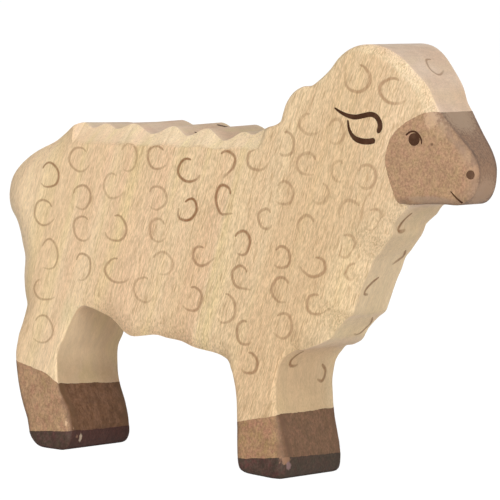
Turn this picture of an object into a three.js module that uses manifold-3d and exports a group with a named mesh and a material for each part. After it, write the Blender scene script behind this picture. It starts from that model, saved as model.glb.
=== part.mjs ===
// A standing sheep sawn in outline from one thick board, sanded round and painted by hand.
// Millimetres, +Z up, nose towards +X, soles on z = 0, the board's middle on y = 0.
import * as THREE from "three";
import { mergeVertices } from "three/addons/utils/BufferGeometryUtils.js";
import Module from "manifold-3d";

// Board and stance
const BOARD_THICKNESS = 24;
const HIND_LEG_X = -45.2;
const FORE_LEG_X = 13.3;
const BELLY_Z = 28.2;
const BACK_Z = 73.9;
const BACK_SLOPE = 0.03;
const BACK_LENGTH = 55.8;
const BACK_RISE = 3.2;
const HEAD_X = 35.8;
const HEAD_Z = 96.8;

// One square of the sawing pattern, which the outline and the brush marks are counted in
const SQUARE = 1;

// Sanded edges: width across the side face, setback through the thickness
const LEG_EDGE = { width: 0.9, setback: 0.8, power: 2 };
const SOLE_EDGE = { width: 1.5, setback: 1.2, power: 2 };
const BELLY_EDGE = { width: 1.2, setback: 0.9, power: 2 };
const CREASE_EDGE = { width: 3, setback: 2.2, power: 2 };
const CHEST_EDGE = { width: 8.5, setback: 5.2, power: 2 };
const THROAT_EDGE = { width: 4, setback: 3, power: 2 };
const MUZZLE_EDGE = { width: 2, setback: 1, power: 2 };
const HEAD_EDGE = { width: 2.6, setback: 1.4, power: 2 };
const NAPE_EDGE = { width: 1.4, setback: 1, power: 2 };
const THIGH_EDGE = { width: 2.6, setback: 1.7, power: 2 };
const RUMP_EDGE = { width: 4.7, setback: 2.6, power: 2 };

// Flat chamfer that cuts the waves of the back into scallops
const CHAMFER_DROP = 3.7;
const CHAMFER_SLOPE = 1;

// Wedge that thins the head towards the nose
const TAPER_FROM_HEAD = 2;
const TAPER_SLOPE = 0.33;

// Wool waves along the back: place from the hind leg, depth under the line of the humps
const BACK_WAVES = [
  { along: 52.4, under: -0.73 },
  { along: 50.2, under: 0.5 },
  { along: 47.4, under: 0 },
  { along: 42.7, under: 1.8 },
  { along: 37.2, under: -0.3 },
  { along: 33.2, under: 0.9 },
  { along: 28.2, under: -0.4 },
  { along: 23.5, under: 1.1 },
  { along: 17.3, under: -0.5 },
  { along: 13.3, under: 0.7 },
  { along: 9.8, under: 0 },
  { along: 6.6, under: 1.2 },
  { along: 2.6, under: 0.3 },
];

// Paint
const COAT_THICKNESS = 0.3;
const COAT_GAP = 0.3;
const HOOF_HEIGHT = 4.3;
const HIND_SOCK_REAR_Z = 17.8;
const HIND_SOCK_FRONT_Z = 13.9;
const FORE_SOCK_REAR_Z = 11.9;
const FORE_SOCK_FRONT_Z = 14.8;
const SOCK_READ_FROM_LEG = 6;
const SOLE_LIFT = 0.4;
const STROKE_WIDTH = 1.1;
const EYE_WIDTH = 2.4;
const EYE_HEIGHT = 3.2;
const NOSTRIL_SIZE = 1.8;
const MOUTH_WIDTH = 0.8;
const MARK_INNER_Y = 3;
const PAST_WOOD = 2;

// Mesh fineness
const STATION_STEP = 2;
const EDGE_STEPS = 3;

const half = BOARD_THICKNESS / 2;
const taperX = HEAD_X + TAPER_FROM_HEAD;
const { lerp } = THREE.MathUtils;

/** Points of the outline counted in squares of the pattern from a place on the figure. */
const squaresFrom = (x, z) => (right, up, edge) => {
  return { x: x + right * SQUARE, z: z + up * SQUARE, edge };
};
/** Points of the outline as shares of the way from one place on the figure to another. */
const sharesBetween = (start, end) => (shareX, shareZ, edge) => {
  return { x: lerp(start.x, end.x, shareX), z: lerp(start.z, end.z, shareZ), edge };
};
const hindFoot = squaresFrom(HIND_LEG_X, 0);
const hindHoof = squaresFrom(HIND_LEG_X, HOOF_HEIGHT);
const hindThigh = squaresFrom(HIND_LEG_X, BELLY_Z);
const foreFoot = squaresFrom(FORE_LEG_X, 0);
const foreHoof = squaresFrom(FORE_LEG_X, HOOF_HEIGHT);
const foreThigh = squaresFrom(FORE_LEG_X, BELLY_Z);
const head = squaresFrom(HEAD_X, HEAD_Z);
const belly = (share, up, edge) => {
  return { x: lerp(HIND_LEG_X, FORE_LEG_X, share), z: BELLY_Z + up * SQUARE, edge };
};
const haunch = (right, share, edge) => {
  return { x: HIND_LEG_X + right * SQUARE, z: lerp(BELLY_Z, BACK_Z, share), edge };
};
const backEnd = { x: HIND_LEG_X + BACK_LENGTH, z: BACK_Z + BACK_RISE };
const nape = sharesBetween(backEnd, head(0, 0));
const breast = sharesBetween(foreThigh(19.5, 11.2), head(9.5, -34.7));

// Outline points, once round with the wood on the left: hind sole, arch, belly, fore leg, chest, head, back, rump
const hindLegFront = [
  hindFoot(-1.5, 0, SOLE_EDGE),
  hindFoot(4.4, 0, SOLE_EDGE),
  hindFoot(5.9, 0.8, SOLE_EDGE),
  hindFoot(6.4, 2.5, SOLE_EDGE),
  hindHoof(6.2, 0.5, LEG_EDGE),
  hindHoof(5, 4.5, LEG_EDGE),
  hindThigh(2.4, -13.8, LEG_EDGE),
  hindThigh(1.8, -9.5, LEG_EDGE),
  hindThigh(2, -6, LEG_EDGE),
  hindThigh(3.3, -3.5, LEG_EDGE),
];
const archAndBelly = [
  hindThigh(5.8, 2.1, BELLY_EDGE),
  hindThigh(7, 4.2, BELLY_EDGE),
  hindThigh(8.4, 5.1, BELLY_EDGE),
  hindThigh(10, 4.9, BELLY_EDGE),
  belly(0.258, 3.6, BELLY_EDGE),
  belly(0.282, 2.8, BELLY_EDGE),
  belly(0.316, 1.1, BELLY_EDGE),
  belly(0.342, 0, BELLY_EDGE),
  belly(0.366, -0.2, BELLY_EDGE),
  belly(0.474, 0.8, BELLY_EDGE),
  belly(0.518, 0, BELLY_EDGE),
  belly(0.586, -0.2, BELLY_EDGE),
  belly(0.651, -1.1, BELLY_EDGE),
  foreThigh(-13.8, -2, BELLY_EDGE),
  foreThigh(-10.8, -2.9, BELLY_EDGE),
];
const foreLeg = [
  foreThigh(-8.9, -4.4, LEG_EDGE),
  foreThigh(-8, -7.5, LEG_EDGE),
  foreThigh(-7.3, -10.9, LEG_EDGE),
  foreHoof(-6.8, 5.9, LEG_EDGE),
  foreHoof(-6.6, -0.7, SOLE_EDGE),
  foreFoot(-6, 1, SOLE_EDGE),
  foreFoot(-4.6, 0, SOLE_EDGE),
  foreFoot(3.9, 0, SOLE_EDGE),
  foreFoot(5.4, 0.8, SOLE_EDGE),
  foreHoof(5.9, -0.9, SOLE_EDGE),
  foreHoof(5.3, 2.4, LEG_EDGE),
  foreHoof(4.1, 7.9, LEG_EDGE),
  foreThigh(3.4, -13.8, LEG_EDGE),
  foreThigh(3, -10.8, LEG_EDGE),
  foreThigh(2.7, -7.8, LEG_EDGE),
  foreThigh(2.9, -5.7, LEG_EDGE),
  foreThigh(3.4, -3.2, LEG_EDGE),
  foreThigh(4.9, -1, LEG_EDGE),
];
const chest = [
  foreThigh(6.8, 0.5, BELLY_EDGE),
  foreThigh(8.2, 0.7, BELLY_EDGE),
  foreThigh(11.4, 2.1, CREASE_EDGE),
  foreThigh(13.7, 3.8, CHEST_EDGE),
  foreThigh(14.5, 5.2, CHEST_EDGE),
  foreThigh(17.1, 8, CHEST_EDGE),
  foreThigh(18.8, 9.4, CHEST_EDGE),
  breast(0, 0, CHEST_EDGE),
  breast(0.128, 0.233, CHEST_EDGE),
  breast(0.224, 0.352, CHEST_EDGE),
  breast(0.296, 0.463, CHEST_EDGE),
  breast(0.408, 0.537, CHEST_EDGE),
  breast(0.6, 0.656, CHEST_EDGE),
  breast(0.688, 0.722, CHEST_EDGE),
  breast(0.72, 0.811, CHEST_EDGE),
  breast(0.848, 0.907, THROAT_EDGE),
];
const headFront = [
  head(9.5, -34.7, THROAT_EDGE),
  head(11.7, -34.2, MUZZLE_EDGE),
  head(17, -33.7, MUZZLE_EDGE),
  head(20.8, -33.2, MUZZLE_EDGE),
  head(22.7, -31.9, MUZZLE_EDGE),
  head(24.4, -29.4, MUZZLE_EDGE),
  head(24.9, -26.2, MUZZLE_EDGE),
  head(24.7, -24.5, MUZZLE_EDGE),
  head(23.1, -21.9, MUZZLE_EDGE),
  head(19.2, -17.7, MUZZLE_EDGE),
  head(15.9, -13.7, MUZZLE_EDGE),
  head(14.6, -11.9, HEAD_EDGE),
  head(12.9, -8.6, HEAD_EDGE),
  head(10.1, -5.5, HEAD_EDGE),
  head(6.3, -2.1, HEAD_EDGE),
  head(3.1, -0.5, HEAD_EDGE),
  head(0, 0, HEAD_EDGE),
];
const neck = [
  nape(0.901, 0.985, NAPE_EDGE),
  nape(0.802, 0.934, NAPE_EDGE),
  nape(0.702, 0.838, NAPE_EDGE),
  nape(0.607, 0.685, NAPE_EDGE),
  nape(0.508, 0.569, NAPE_EDGE),
  nape(0.429, 0.497, NAPE_EDGE),
  nape(0.345, 0.482, NAPE_EDGE),
  nape(0.25, 0.411, NAPE_EDGE),
  nape(0.179, 0.284, NAPE_EDGE),
  nape(0.151, 0.178, NAPE_EDGE),
  nape(0.127, 0.076, NAPE_EDGE),
  nape(0.083, 0.036, NAPE_EDGE),
  nape(0, 0, NAPE_EDGE),
];
const backWaves = BACK_WAVES.map(({ along, under }) => {
  const depth = CHAMFER_DROP - under;
  const edge = { width: depth, setback: depth * CHAMFER_SLOPE, power: 1 };
  return { x: HIND_LEG_X + along, z: BACK_Z + BACK_SLOPE * along - under, edge };
});
const rump = [
  haunch(0.6, 0.989, RUMP_EDGE),
  haunch(-0.9, 0.934, RUMP_EDGE),
  haunch(-2.9, 0.899, RUMP_EDGE),
  haunch(-6.8, 0.862, RUMP_EDGE),
  haunch(-9.5, 0.827, RUMP_EDGE),
  haunch(-13, 0.761, RUMP_EDGE),
  haunch(-14.9, 0.698, RUMP_EDGE),
  haunch(-15.5, 0.613, RUMP_EDGE),
  haunch(-14.8, 0.549, RUMP_EDGE),
  haunch(-12.9, 0.492, RUMP_EDGE),
  haunch(-11.7, 0.435, RUMP_EDGE),
  haunch(-10.8, 0.376, RUMP_EDGE),
  haunch(-9.9, 0.317, RUMP_EDGE),
  haunch(-10.2, 0.219, RUMP_EDGE),
  haunch(-9.8, 0.138, RUMP_EDGE),
  haunch(-9.1, 0.079, RUMP_EDGE),
];
const hindLegRear = [
  hindThigh(-9.2, 0, THIGH_EDGE),
  hindThigh(-9.6, -3.2, NAPE_EDGE),
  hindThigh(-10.1, -7.3, LEG_EDGE),
  hindThigh(-9.8, -10.1, LEG_EDGE),
  hindThigh(-9, -14.1, LEG_EDGE),
  hindHoof(-7.9, 5.8, LEG_EDGE),
  hindHoof(-6.5, 1.8, LEG_EDGE),
  hindFoot(-5.5, 2.2, SOLE_EDGE),
  hindFoot(-3.9, 0.6, SOLE_EDGE),
];
const outline = [
  ...hindLegFront,
  ...archAndBelly,
  ...foreLeg,
  ...chest,
  ...headFront,
  ...neck,
  ...backWaves,
  ...rump,
  ...hindLegRear,
];

/** Stations along the outline, each with its place and the sanded edge there. */
function outlineStations() {
  const corners = outline.map(({ x, z }) => new THREE.Vector3(x, 0, z));
  const curve = new THREE.CatmullRomCurve3(corners, true, "centripetal");
  const stations = [];
  outline.forEach(({ edge }, i) => {
    const next = outline[(i + 1) % outline.length].edge;
    const span = corners[i].distanceTo(corners[(i + 1) % corners.length]);
    const steps = Math.max(1, Math.round(span / STATION_STEP));
    for (let step = 0; step < steps; step++) {
      const share = step / steps;
      const { x, z } = curve.getPoint((i + share) / outline.length);
      const mix = (key) => lerp(edge[key], next[key], share);
      stations.push({
        x,
        z: Math.max(0, z),
        width: mix("width"),
        setback: mix("setback"),
        power: mix("power"),
      });
    }
  });
  return stations;
}

/** Outward direction of the outline at a station, from neighbours a few stations away. */
function outward(stations, i, reach) {
  const count = stations.length;
  const before = stations[(i - reach + count) % count];
  const after = stations[(i + reach) % count];
  return new THREE.Vector2(after.z - before.z, before.x - after.x).normalize();
}

/** Where the flat side face starts, inside the outline, at each station. */
function sideFaceStations(stations) {
  return stations.map(({ x, z, width }, i) => {
    const out = outward(stations, i, 2);
    return new THREE.Vector2(x - out.x * width, z - out.y * width);
  });
}

/** The stations nearest to the line where the head's wedge starts, under the throat and on top. */
function taperEnds(inner) {
  const nearest = (test) => {
    let best = -1;
    inner.forEach((point, i) => {
      const closer = best < 0 || Math.abs(point.x - taperX) < Math.abs(inner[best].x - taperX);
      if (test(point) && closer) best = i;
    });
    return best;
  };
  const middleZ = (HEAD_Z + BACK_Z) / 2;
  const low = nearest((point) => point.y < middleZ && point.x > FORE_LEG_X);
  const high = nearest((point) => point.y >= middleZ);
  return { low, high };
}

const stations = outlineStations();
const inner = sideFaceStations(stations);
const ends = taperEnds(inner);
inner[ends.low].x = taperX;
inner[ends.high].x = taperX;

/** The sanded board as a closed surface, drawn in by an inset on all sides. */
function boardGeometry(inset) {
  const count = stations.length;
  const positions = [];
  const indices = [];
  const at = (side, i, ring) => (side * count + (i % count)) * (EDGE_STEPS + 1) + ring;
  for (const sign of [-1, 1]) {
    stations.forEach((station, i) => {
      const out = outward(stations, i, 1);
      const lift = station.z > 0 ? -out.y * inset : 0;
      const rim = new THREE.Vector2(station.x - out.x * inset, station.z + lift);
      for (let ring = 0; ring <= EDGE_STEPS; ring++) {
        const share = 1 - ring / EDGE_STEPS;
        const spot = inner[i].clone().lerp(rim, share);
        const wedge = TAPER_SLOPE * Math.max(0, spot.x - taperX);
        const worn = station.setback * Math.pow(share, station.power);
        positions.push(spot.x, sign * (half - inset - wedge - worn), spot.y);
      }
    });
  }
  const face = (side, a, b, c) => indices.push(...(side === 0 ? [a, b, c] : [a, c, b]));
  for (let i = 0; i < count; i++) {
    indices.push(at(0, i, 0), at(1, i, 0), at(1, i + 1, 0));
    indices.push(at(0, i, 0), at(1, i + 1, 0), at(0, i + 1, 0));
    for (const side of [0, 1]) {
      for (let ring = 0; ring < EDGE_STEPS; ring++) {
        face(side, at(side, i, ring), at(side, i + 1, ring), at(side, i + 1, ring + 1));
        face(side, at(side, i, ring), at(side, i + 1, ring + 1), at(side, i, ring + 1));
      }
    }
  }
  const headLoop = [];
  for (let i = ends.low; i <= ends.high; i++) headLoop.push(i);
  const bodyLoop = [];
  for (let i = ends.high; i <= ends.low + count; i++) bodyLoop.push(i % count);
  for (const loop of [headLoop, bodyLoop]) {
    const contour = loop.map((i) => inner[i]);
    for (const [a, b, c] of THREE.ShapeUtils.triangulateShape(contour, [])) {
      const turn = THREE.ShapeUtils.area([contour[a], contour[b], contour[c]]);
      const [first, second] = turn > 0 ? [b, c] : [c, b];
      for (const side of [0, 1]) {
        const corner = (k) => at(side, loop[k], EDGE_STEPS);
        face(side, corner(a), corner(first), corner(second));
      }
    }
  }
  const geometry = new THREE.BufferGeometry();
  geometry.setAttribute("position", new THREE.Float32BufferAttribute(positions, 3));
  geometry.setIndex(indices);
  return geometry;
}

const wasm = await Module();
wasm.setup();

/** A closed geometry as a solid that can be cut and joined. */
function solidOf(geometry) {
  geometry.deleteAttribute("normal");
  geometry.deleteAttribute("uv");
  const merged = mergeVertices(geometry, 1e-4);
  return new wasm.Manifold(
    new wasm.Mesh({
      numProp: 3,
      vertProperties: new Float32Array(merged.attributes.position.array),
      triVerts: new Uint32Array(merged.index.array),
    }),
  );
}

/** A named mesh from a solid. */
function meshOf(name, solid, material) {
  const { vertProperties, triVerts } = solid.getMesh();
  const geometry = new THREE.BufferGeometry();
  geometry.setAttribute("position", new THREE.BufferAttribute(vertProperties, 3));
  geometry.setIndex(new THREE.BufferAttribute(triVerts, 1));
  geometry.computeVertexNormals();
  const mesh = new THREE.Mesh(geometry, material);
  mesh.name = name;
  return mesh;
}

/** A side-view shape (x, z) carried through the board from one y to another. */
function throughBoard(shape, fromY, toY) {
  const geometry = new THREE.ExtrudeGeometry(shape, {
    depth: toY - fromY,
    bevelEnabled: false,
    curveSegments: 10,
  });
  geometry.rotateX(Math.PI / 2);
  geometry.translate(0, toY, 0);
  return solidOf(geometry);
}

const beyond = half + PAST_WOOD;
const point2 = (x, z) => new THREE.Vector2(x, z);

/** Side-view area of the painted face, from the cheek line to past the nose. */
function faceShape(grow) {
  const cheek = [
    head(18, -13.6),
    head(13.3, -13.9),
    head(10.9, -15.2),
    head(7.9, -17.5),
    head(5.9, -20.5),
    head(5.3, -24.1),
    head(5.8, -27.3),
    head(7.2, -31.2),
    head(8.4, -33.4),
    head(10, -35.8),
  ];
  const centre = head(20, -25);
  const moved = cheek.map(({ x, z }) => {
    const arm = point2(x - centre.x, z - centre.z);
    return arm.setLength(arm.length() + grow).add(point2(centre.x, centre.z));
  });
  const shape = new THREE.Shape();
  shape.moveTo(moved[0].x, moved[0].y);
  shape.splineThru(moved.slice(1));
  const past = head(30, -38);
  shape.lineTo(past.x, past.z);
  shape.lineTo(past.x, moved[0].y);
  return shape;
}

/** Side-view area of a painted band on a leg between a level foot and a sloping top. */
function legShape(legX, footZ, rearZ, frontZ) {
  const reach = 16 * SQUARE;
  const slope = (frontZ - rearZ) / (2 * SOCK_READ_FROM_LEG);
  return new THREE.Shape([
    point2(legX - reach, footZ),
    point2(legX + reach, footZ),
    point2(legX + reach, frontZ + slope * (reach - SOCK_READ_FROM_LEG)),
    point2(legX - reach, rearZ - slope * (reach - SOCK_READ_FROM_LEG)),
  ]);
}

/** A brush stroke along a curve, widest in the middle. */
function strokeShape(points, width, grow) {
  const curve = new THREE.SplineCurve(points);
  const steps = 12;
  const left = [];
  const right = [];
  for (let i = 0; i <= steps; i++) {
    const share = i / steps;
    const spot = curve.getPoint(share);
    const along = curve.getTangent(share);
    const reach = (width / 2) * (0.45 + 0.55 * Math.sin(Math.PI * share)) + grow;
    const lead = i === 0 ? -grow : i === steps ? grow : 0;
    spot.addScaledVector(along, lead);
    left.push(point2(spot.x - along.y * reach, spot.y + along.x * reach));
    right.unshift(point2(spot.x + along.y * reach, spot.y - along.x * reach));
  }
  return new THREE.Shape([...left, ...right]);
}

/** An upright oval. */
function ovalShape({ x, z }, width, height, grow) {
  const shape = new THREE.Shape();
  shape.absellipse(x, z, width / 2 + grow, height / 2 + grow, 0, Math.PI * 2, false, 0);
  return shape;
}

const onHead = (pairs) => pairs.map(([right, up]) => {
  const { x, z } = head(right, up);
  return point2(x, z);
});
const upperEar = onHead([
  [-7.8, -14.1],
  [-5.3, -15.3],
  [-2, -15.8],
  [1.3, -15],
  [3.3, -16],
  [4.1, -18.4],
]);
const lowerEar = onHead([
  [-4, -16.6],
  [-3.3, -18.6],
  [-2.1, -20.3],
  [-0.4, -20.9],
  [2.8, -20.4],
]);
const mouth = onHead([
  [19.5, -30.8],
  [20.8, -31.7],
  [21.8, -32.6],
]);
const markShapes = {
  upper_ear_mark: (grow) => strokeShape(upperEar, STROKE_WIDTH, grow),
  lower_ear_mark: (grow) => strokeShape(lowerEar, STROKE_WIDTH, grow),
  eye_mark: (grow) => ovalShape(head(11.4, -19.6), EYE_WIDTH, EYE_HEIGHT, grow),
  nostril_mark: (grow) => ovalShape(head(23, -26.6), NOSTRIL_SIZE, NOSTRIL_SIZE, grow),
  mouth_mark: (grow) => strokeShape(mouth, MOUTH_WIDTH, grow),
};
const sides = { right: [-beyond, -MARK_INNER_Y], left: [MARK_INNER_Y, beyond] };

// Surfaces of the bare board, of the paint's underside and of the wood under the paint
const board = solidOf(boardGeometry(0));
const underPaint = solidOf(boardGeometry(COAT_THICKNESS));
const bed = solidOf(boardGeometry(COAT_THICKNESS + COAT_GAP));

const film = (zone) => board.intersect(zone).subtract(underPaint);
const relief = (zone) => zone.subtract(bed);
const through = (shape) => throughBoard(shape, -beyond, beyond);

const legs = {
  hind: { x: HIND_LEG_X, rearZ: HIND_SOCK_REAR_Z, frontZ: HIND_SOCK_FRONT_Z },
  fore: { x: FORE_LEG_X, rearZ: FORE_SOCK_REAR_Z, frontZ: FORE_SOCK_FRONT_Z },
};
const halfGap = COAT_GAP / 2;
const hoofZone = ({ x }) => {
  const top = HOOF_HEIGHT - halfGap;
  return through(legShape(x, SOLE_LIFT, top, top));
};
const sockZone = ({ x, rearZ, frontZ }) => {
  return through(legShape(x, HOOF_HEIGHT + halfGap, rearZ, frontZ));
};
const legRelief = ({ x, rearZ, frontZ }) => {
  return relief(through(legShape(x, -PAST_WOOD, rearZ + COAT_GAP, frontZ + COAT_GAP)));
};

const wood = (color, roughness) => {
  return new THREE.MeshStandardMaterial({ color, roughness, metalness: 0 });
};
const bareWood = wood(0xe3caa2, 0.62);
const facePaint = wood(0xae8d6e, 0.6);
const sockPaint = wood(0x7f5f49, 0.6);
const hoofPaint = wood(0x54413b, 0.55);
const linePaint = wood(0x472e28, 0.55);

let body = board.subtract(relief(through(faceShape(COAT_GAP))));
for (const leg of Object.values(legs)) body = body.subtract(legRelief(leg));
let faceCoat = film(through(faceShape(0)));

const marks = [];
for (const [side, [fromY, toY]] of Object.entries(sides)) {
  for (const [mark, shapeOf] of Object.entries(markShapes)) {
    const pocket = throughBoard(shapeOf(COAT_GAP), fromY, toY);
    body = body.subtract(relief(pocket));
    faceCoat = faceCoat.subtract(pocket);
    marks.push(meshOf(`${side}_${mark}`, film(throughBoard(shapeOf(0), fromY, toY)), linePaint));
  }
}

const sheep = new THREE.Group();
sheep.name = "wooden_sheep";
sheep.add(meshOf("sheep_body", body, bareWood));
sheep.add(meshOf("face_coat", faceCoat, facePaint));
for (const [name, leg] of Object.entries(legs)) {
  sheep.add(meshOf(`${name}_sock_coat`, film(sockZone(leg)), sockPaint));
  sheep.add(meshOf(`${name}_hoof_coat`, film(hoofZone(leg)), hoofPaint));
}
sheep.add(...marks);

export default sheep;
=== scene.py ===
"""Looks of a wooden sheep figure, sawn from one thick board, sanded round and painted by hand.

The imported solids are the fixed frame. The wood is modelled finer over them from the same sawing
pattern, each coat of paint lies on it as a thin skin, and each brush line as a narrow ribbon.
"""

import logging
import math
from collections.abc import Callable, Iterable, Iterator
from contextlib import contextmanager
from dataclasses import dataclass
from enum import Enum

import bmesh
import bpy
import numpy as np
from mathutils import Matrix, Vector, noise

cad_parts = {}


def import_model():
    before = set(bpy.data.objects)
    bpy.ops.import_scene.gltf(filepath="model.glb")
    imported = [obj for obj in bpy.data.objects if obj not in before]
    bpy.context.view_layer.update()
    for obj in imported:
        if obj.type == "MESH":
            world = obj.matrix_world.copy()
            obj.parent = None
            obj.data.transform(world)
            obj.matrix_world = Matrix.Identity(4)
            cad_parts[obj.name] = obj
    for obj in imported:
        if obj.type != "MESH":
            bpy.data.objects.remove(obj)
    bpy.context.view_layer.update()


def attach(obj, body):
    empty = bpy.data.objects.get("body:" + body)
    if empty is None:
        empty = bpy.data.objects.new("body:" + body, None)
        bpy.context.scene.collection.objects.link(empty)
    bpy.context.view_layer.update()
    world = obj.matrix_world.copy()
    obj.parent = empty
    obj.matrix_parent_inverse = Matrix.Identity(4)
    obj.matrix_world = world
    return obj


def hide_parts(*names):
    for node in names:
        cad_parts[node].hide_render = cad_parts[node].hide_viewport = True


LOG = logging.getLogger("wooden_sheep")
MM = 0.001
BODY = "root"
CRISP_CORNER_DEGREES = 42.0
RELIEF_DEPTH = 0.2 * MM
SAME_POINT = 1e-7
SHORTEST_GAP = 1e-4
MANY_CORNERS = 8

Colour = tuple[float, float, float, float]
Spot = tuple[float, float, float]
Span = tuple[float, float]
Socket = bpy.types.NodeSocket


def rgb(red: int, green: int, blue: int) -> Colour:
    """Turns a colour of 0 to 255 as seen on a screen into linear light.

    Args:
        red: Red from 0 to 255.
        green: Green from 0 to 255.
        blue: Blue from 0 to 255.

    Returns:
        Linear red, green, blue and an alpha of one.
    """
    parts = []
    for value in (red, green, blue):
        share = value / 255
        parts.append(share / 12.92 if share <= 0.04045 else ((share + 0.055) / 1.055) ** 2.4)
    return (parts[0], parts[1], parts[2], 1.0)


class Flank(Enum):
    """A side of the sheep, by the sign of its y."""

    RIGHT = -1
    LEFT = 1


class MeshPart(Enum):
    """What is picked in edit mode, with the mesh's own list of it."""

    EDGE = "edges"
    FACE = "faces"


class Shaping(Enum):
    """How an edge of the board was taken off."""

    ROUND = "sanded round"
    SLOPE = "sanded to a soft slope"
    CHAMFER = "cut to a flat chamfer"


class StrokeForm(Enum):
    """How wide a brush stroke is along its way, as shares of way and width."""

    CURL = ((0.0, 0.6), (0.2, 0.9), (0.4, 1.0), (0.65, 0.9), (0.85, 0.75), (1.0, 0.55))
    UPPER_EAR = ((0.0, 0.32), (0.14, 0.6), (0.34, 0.9), (0.6, 0.94), (0.92, 0.98), (1.0, 0.7))
    LOWER_EAR = ((0.0, 0.3), (0.3, 0.62), (0.55, 0.98), (0.7, 1.0), (1.0, 1.0))
    LASH = ((0.0, 0.95), (0.35, 1.0), (0.75, 0.85), (1.0, 0.6))
    THIN_TO_THICK = ((0.0, 0.45), (0.4, 0.7), (1.0, 1.0))
    DAB = ((0.0, 1.0), (1.0, 1.0))


@dataclass(frozen=True)
class SandedEdge:
    """What sanding took off an edge of the board, in millimetres, and its share on the left side."""

    width: float
    setback: float
    shaping: Shaping = Shaping.ROUND
    left_share: float = 1.0


LEG_EDGE = SandedEdge(1.1, 0.9)
HOCK_EDGE = SandedEdge(0.7, 0.45)
FOOT_EDGE = SandedEdge(2.0, 1.5)
SOLE_EDGE = SandedEdge(1.3, 1.0)
FORE_FOOT_EDGE = SandedEdge(2.2, 2.3, left_share=0.45)
FORE_SOLE_EDGE = SandedEdge(2.2, 2.2, left_share=0.6)
BELLY_EDGE = SandedEdge(5.0, 1.9, Shaping.SLOPE)
ARCH_EDGE = SandedEdge(4.0, 0.8, Shaping.SLOPE)
ARMPIT_EDGE = SandedEdge(3.6, 1.6, Shaping.SLOPE)
FOLD_EDGE = SandedEdge(6.0, 2.2, Shaping.SLOPE)
ROLL_EDGE = SandedEdge(5.0, 2.0, Shaping.SLOPE)
CREASE_EDGE = SandedEdge(6.5, 3.0, Shaping.SLOPE)
CHEST_EDGE = SandedEdge(8.5, 5.2, Shaping.SLOPE)
DEWLAP_EDGE = SandedEdge(6.6, 4.1, Shaping.SLOPE, 1.25)
COLLAR_EDGE = SandedEdge(5.0, 3.6, Shaping.SLOPE, 1.15)
THROAT_EDGE = SandedEdge(4.0, 2.6, Shaping.SLOPE, 0.87)
MUZZLE_EDGE = SandedEdge(2.6, 1.4, left_share=0.5)
HEAD_EDGE = SandedEdge(2.5, 1.6, Shaping.SLOPE, 0.6)
NAPE_EDGE = SandedEdge(1.4, 1.0)
THIGH_EDGE = SandedEdge(2.6, 1.7, Shaping.SLOPE)
RUMP_EDGE = SandedEdge(5.4, 2.8, Shaping.SLOPE)


@dataclass(frozen=True)
class PatternPoint:
    """One point of the sawing pattern with the edge sanded there, in millimetres."""

    x: float
    z: float
    edge: SandedEdge


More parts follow.
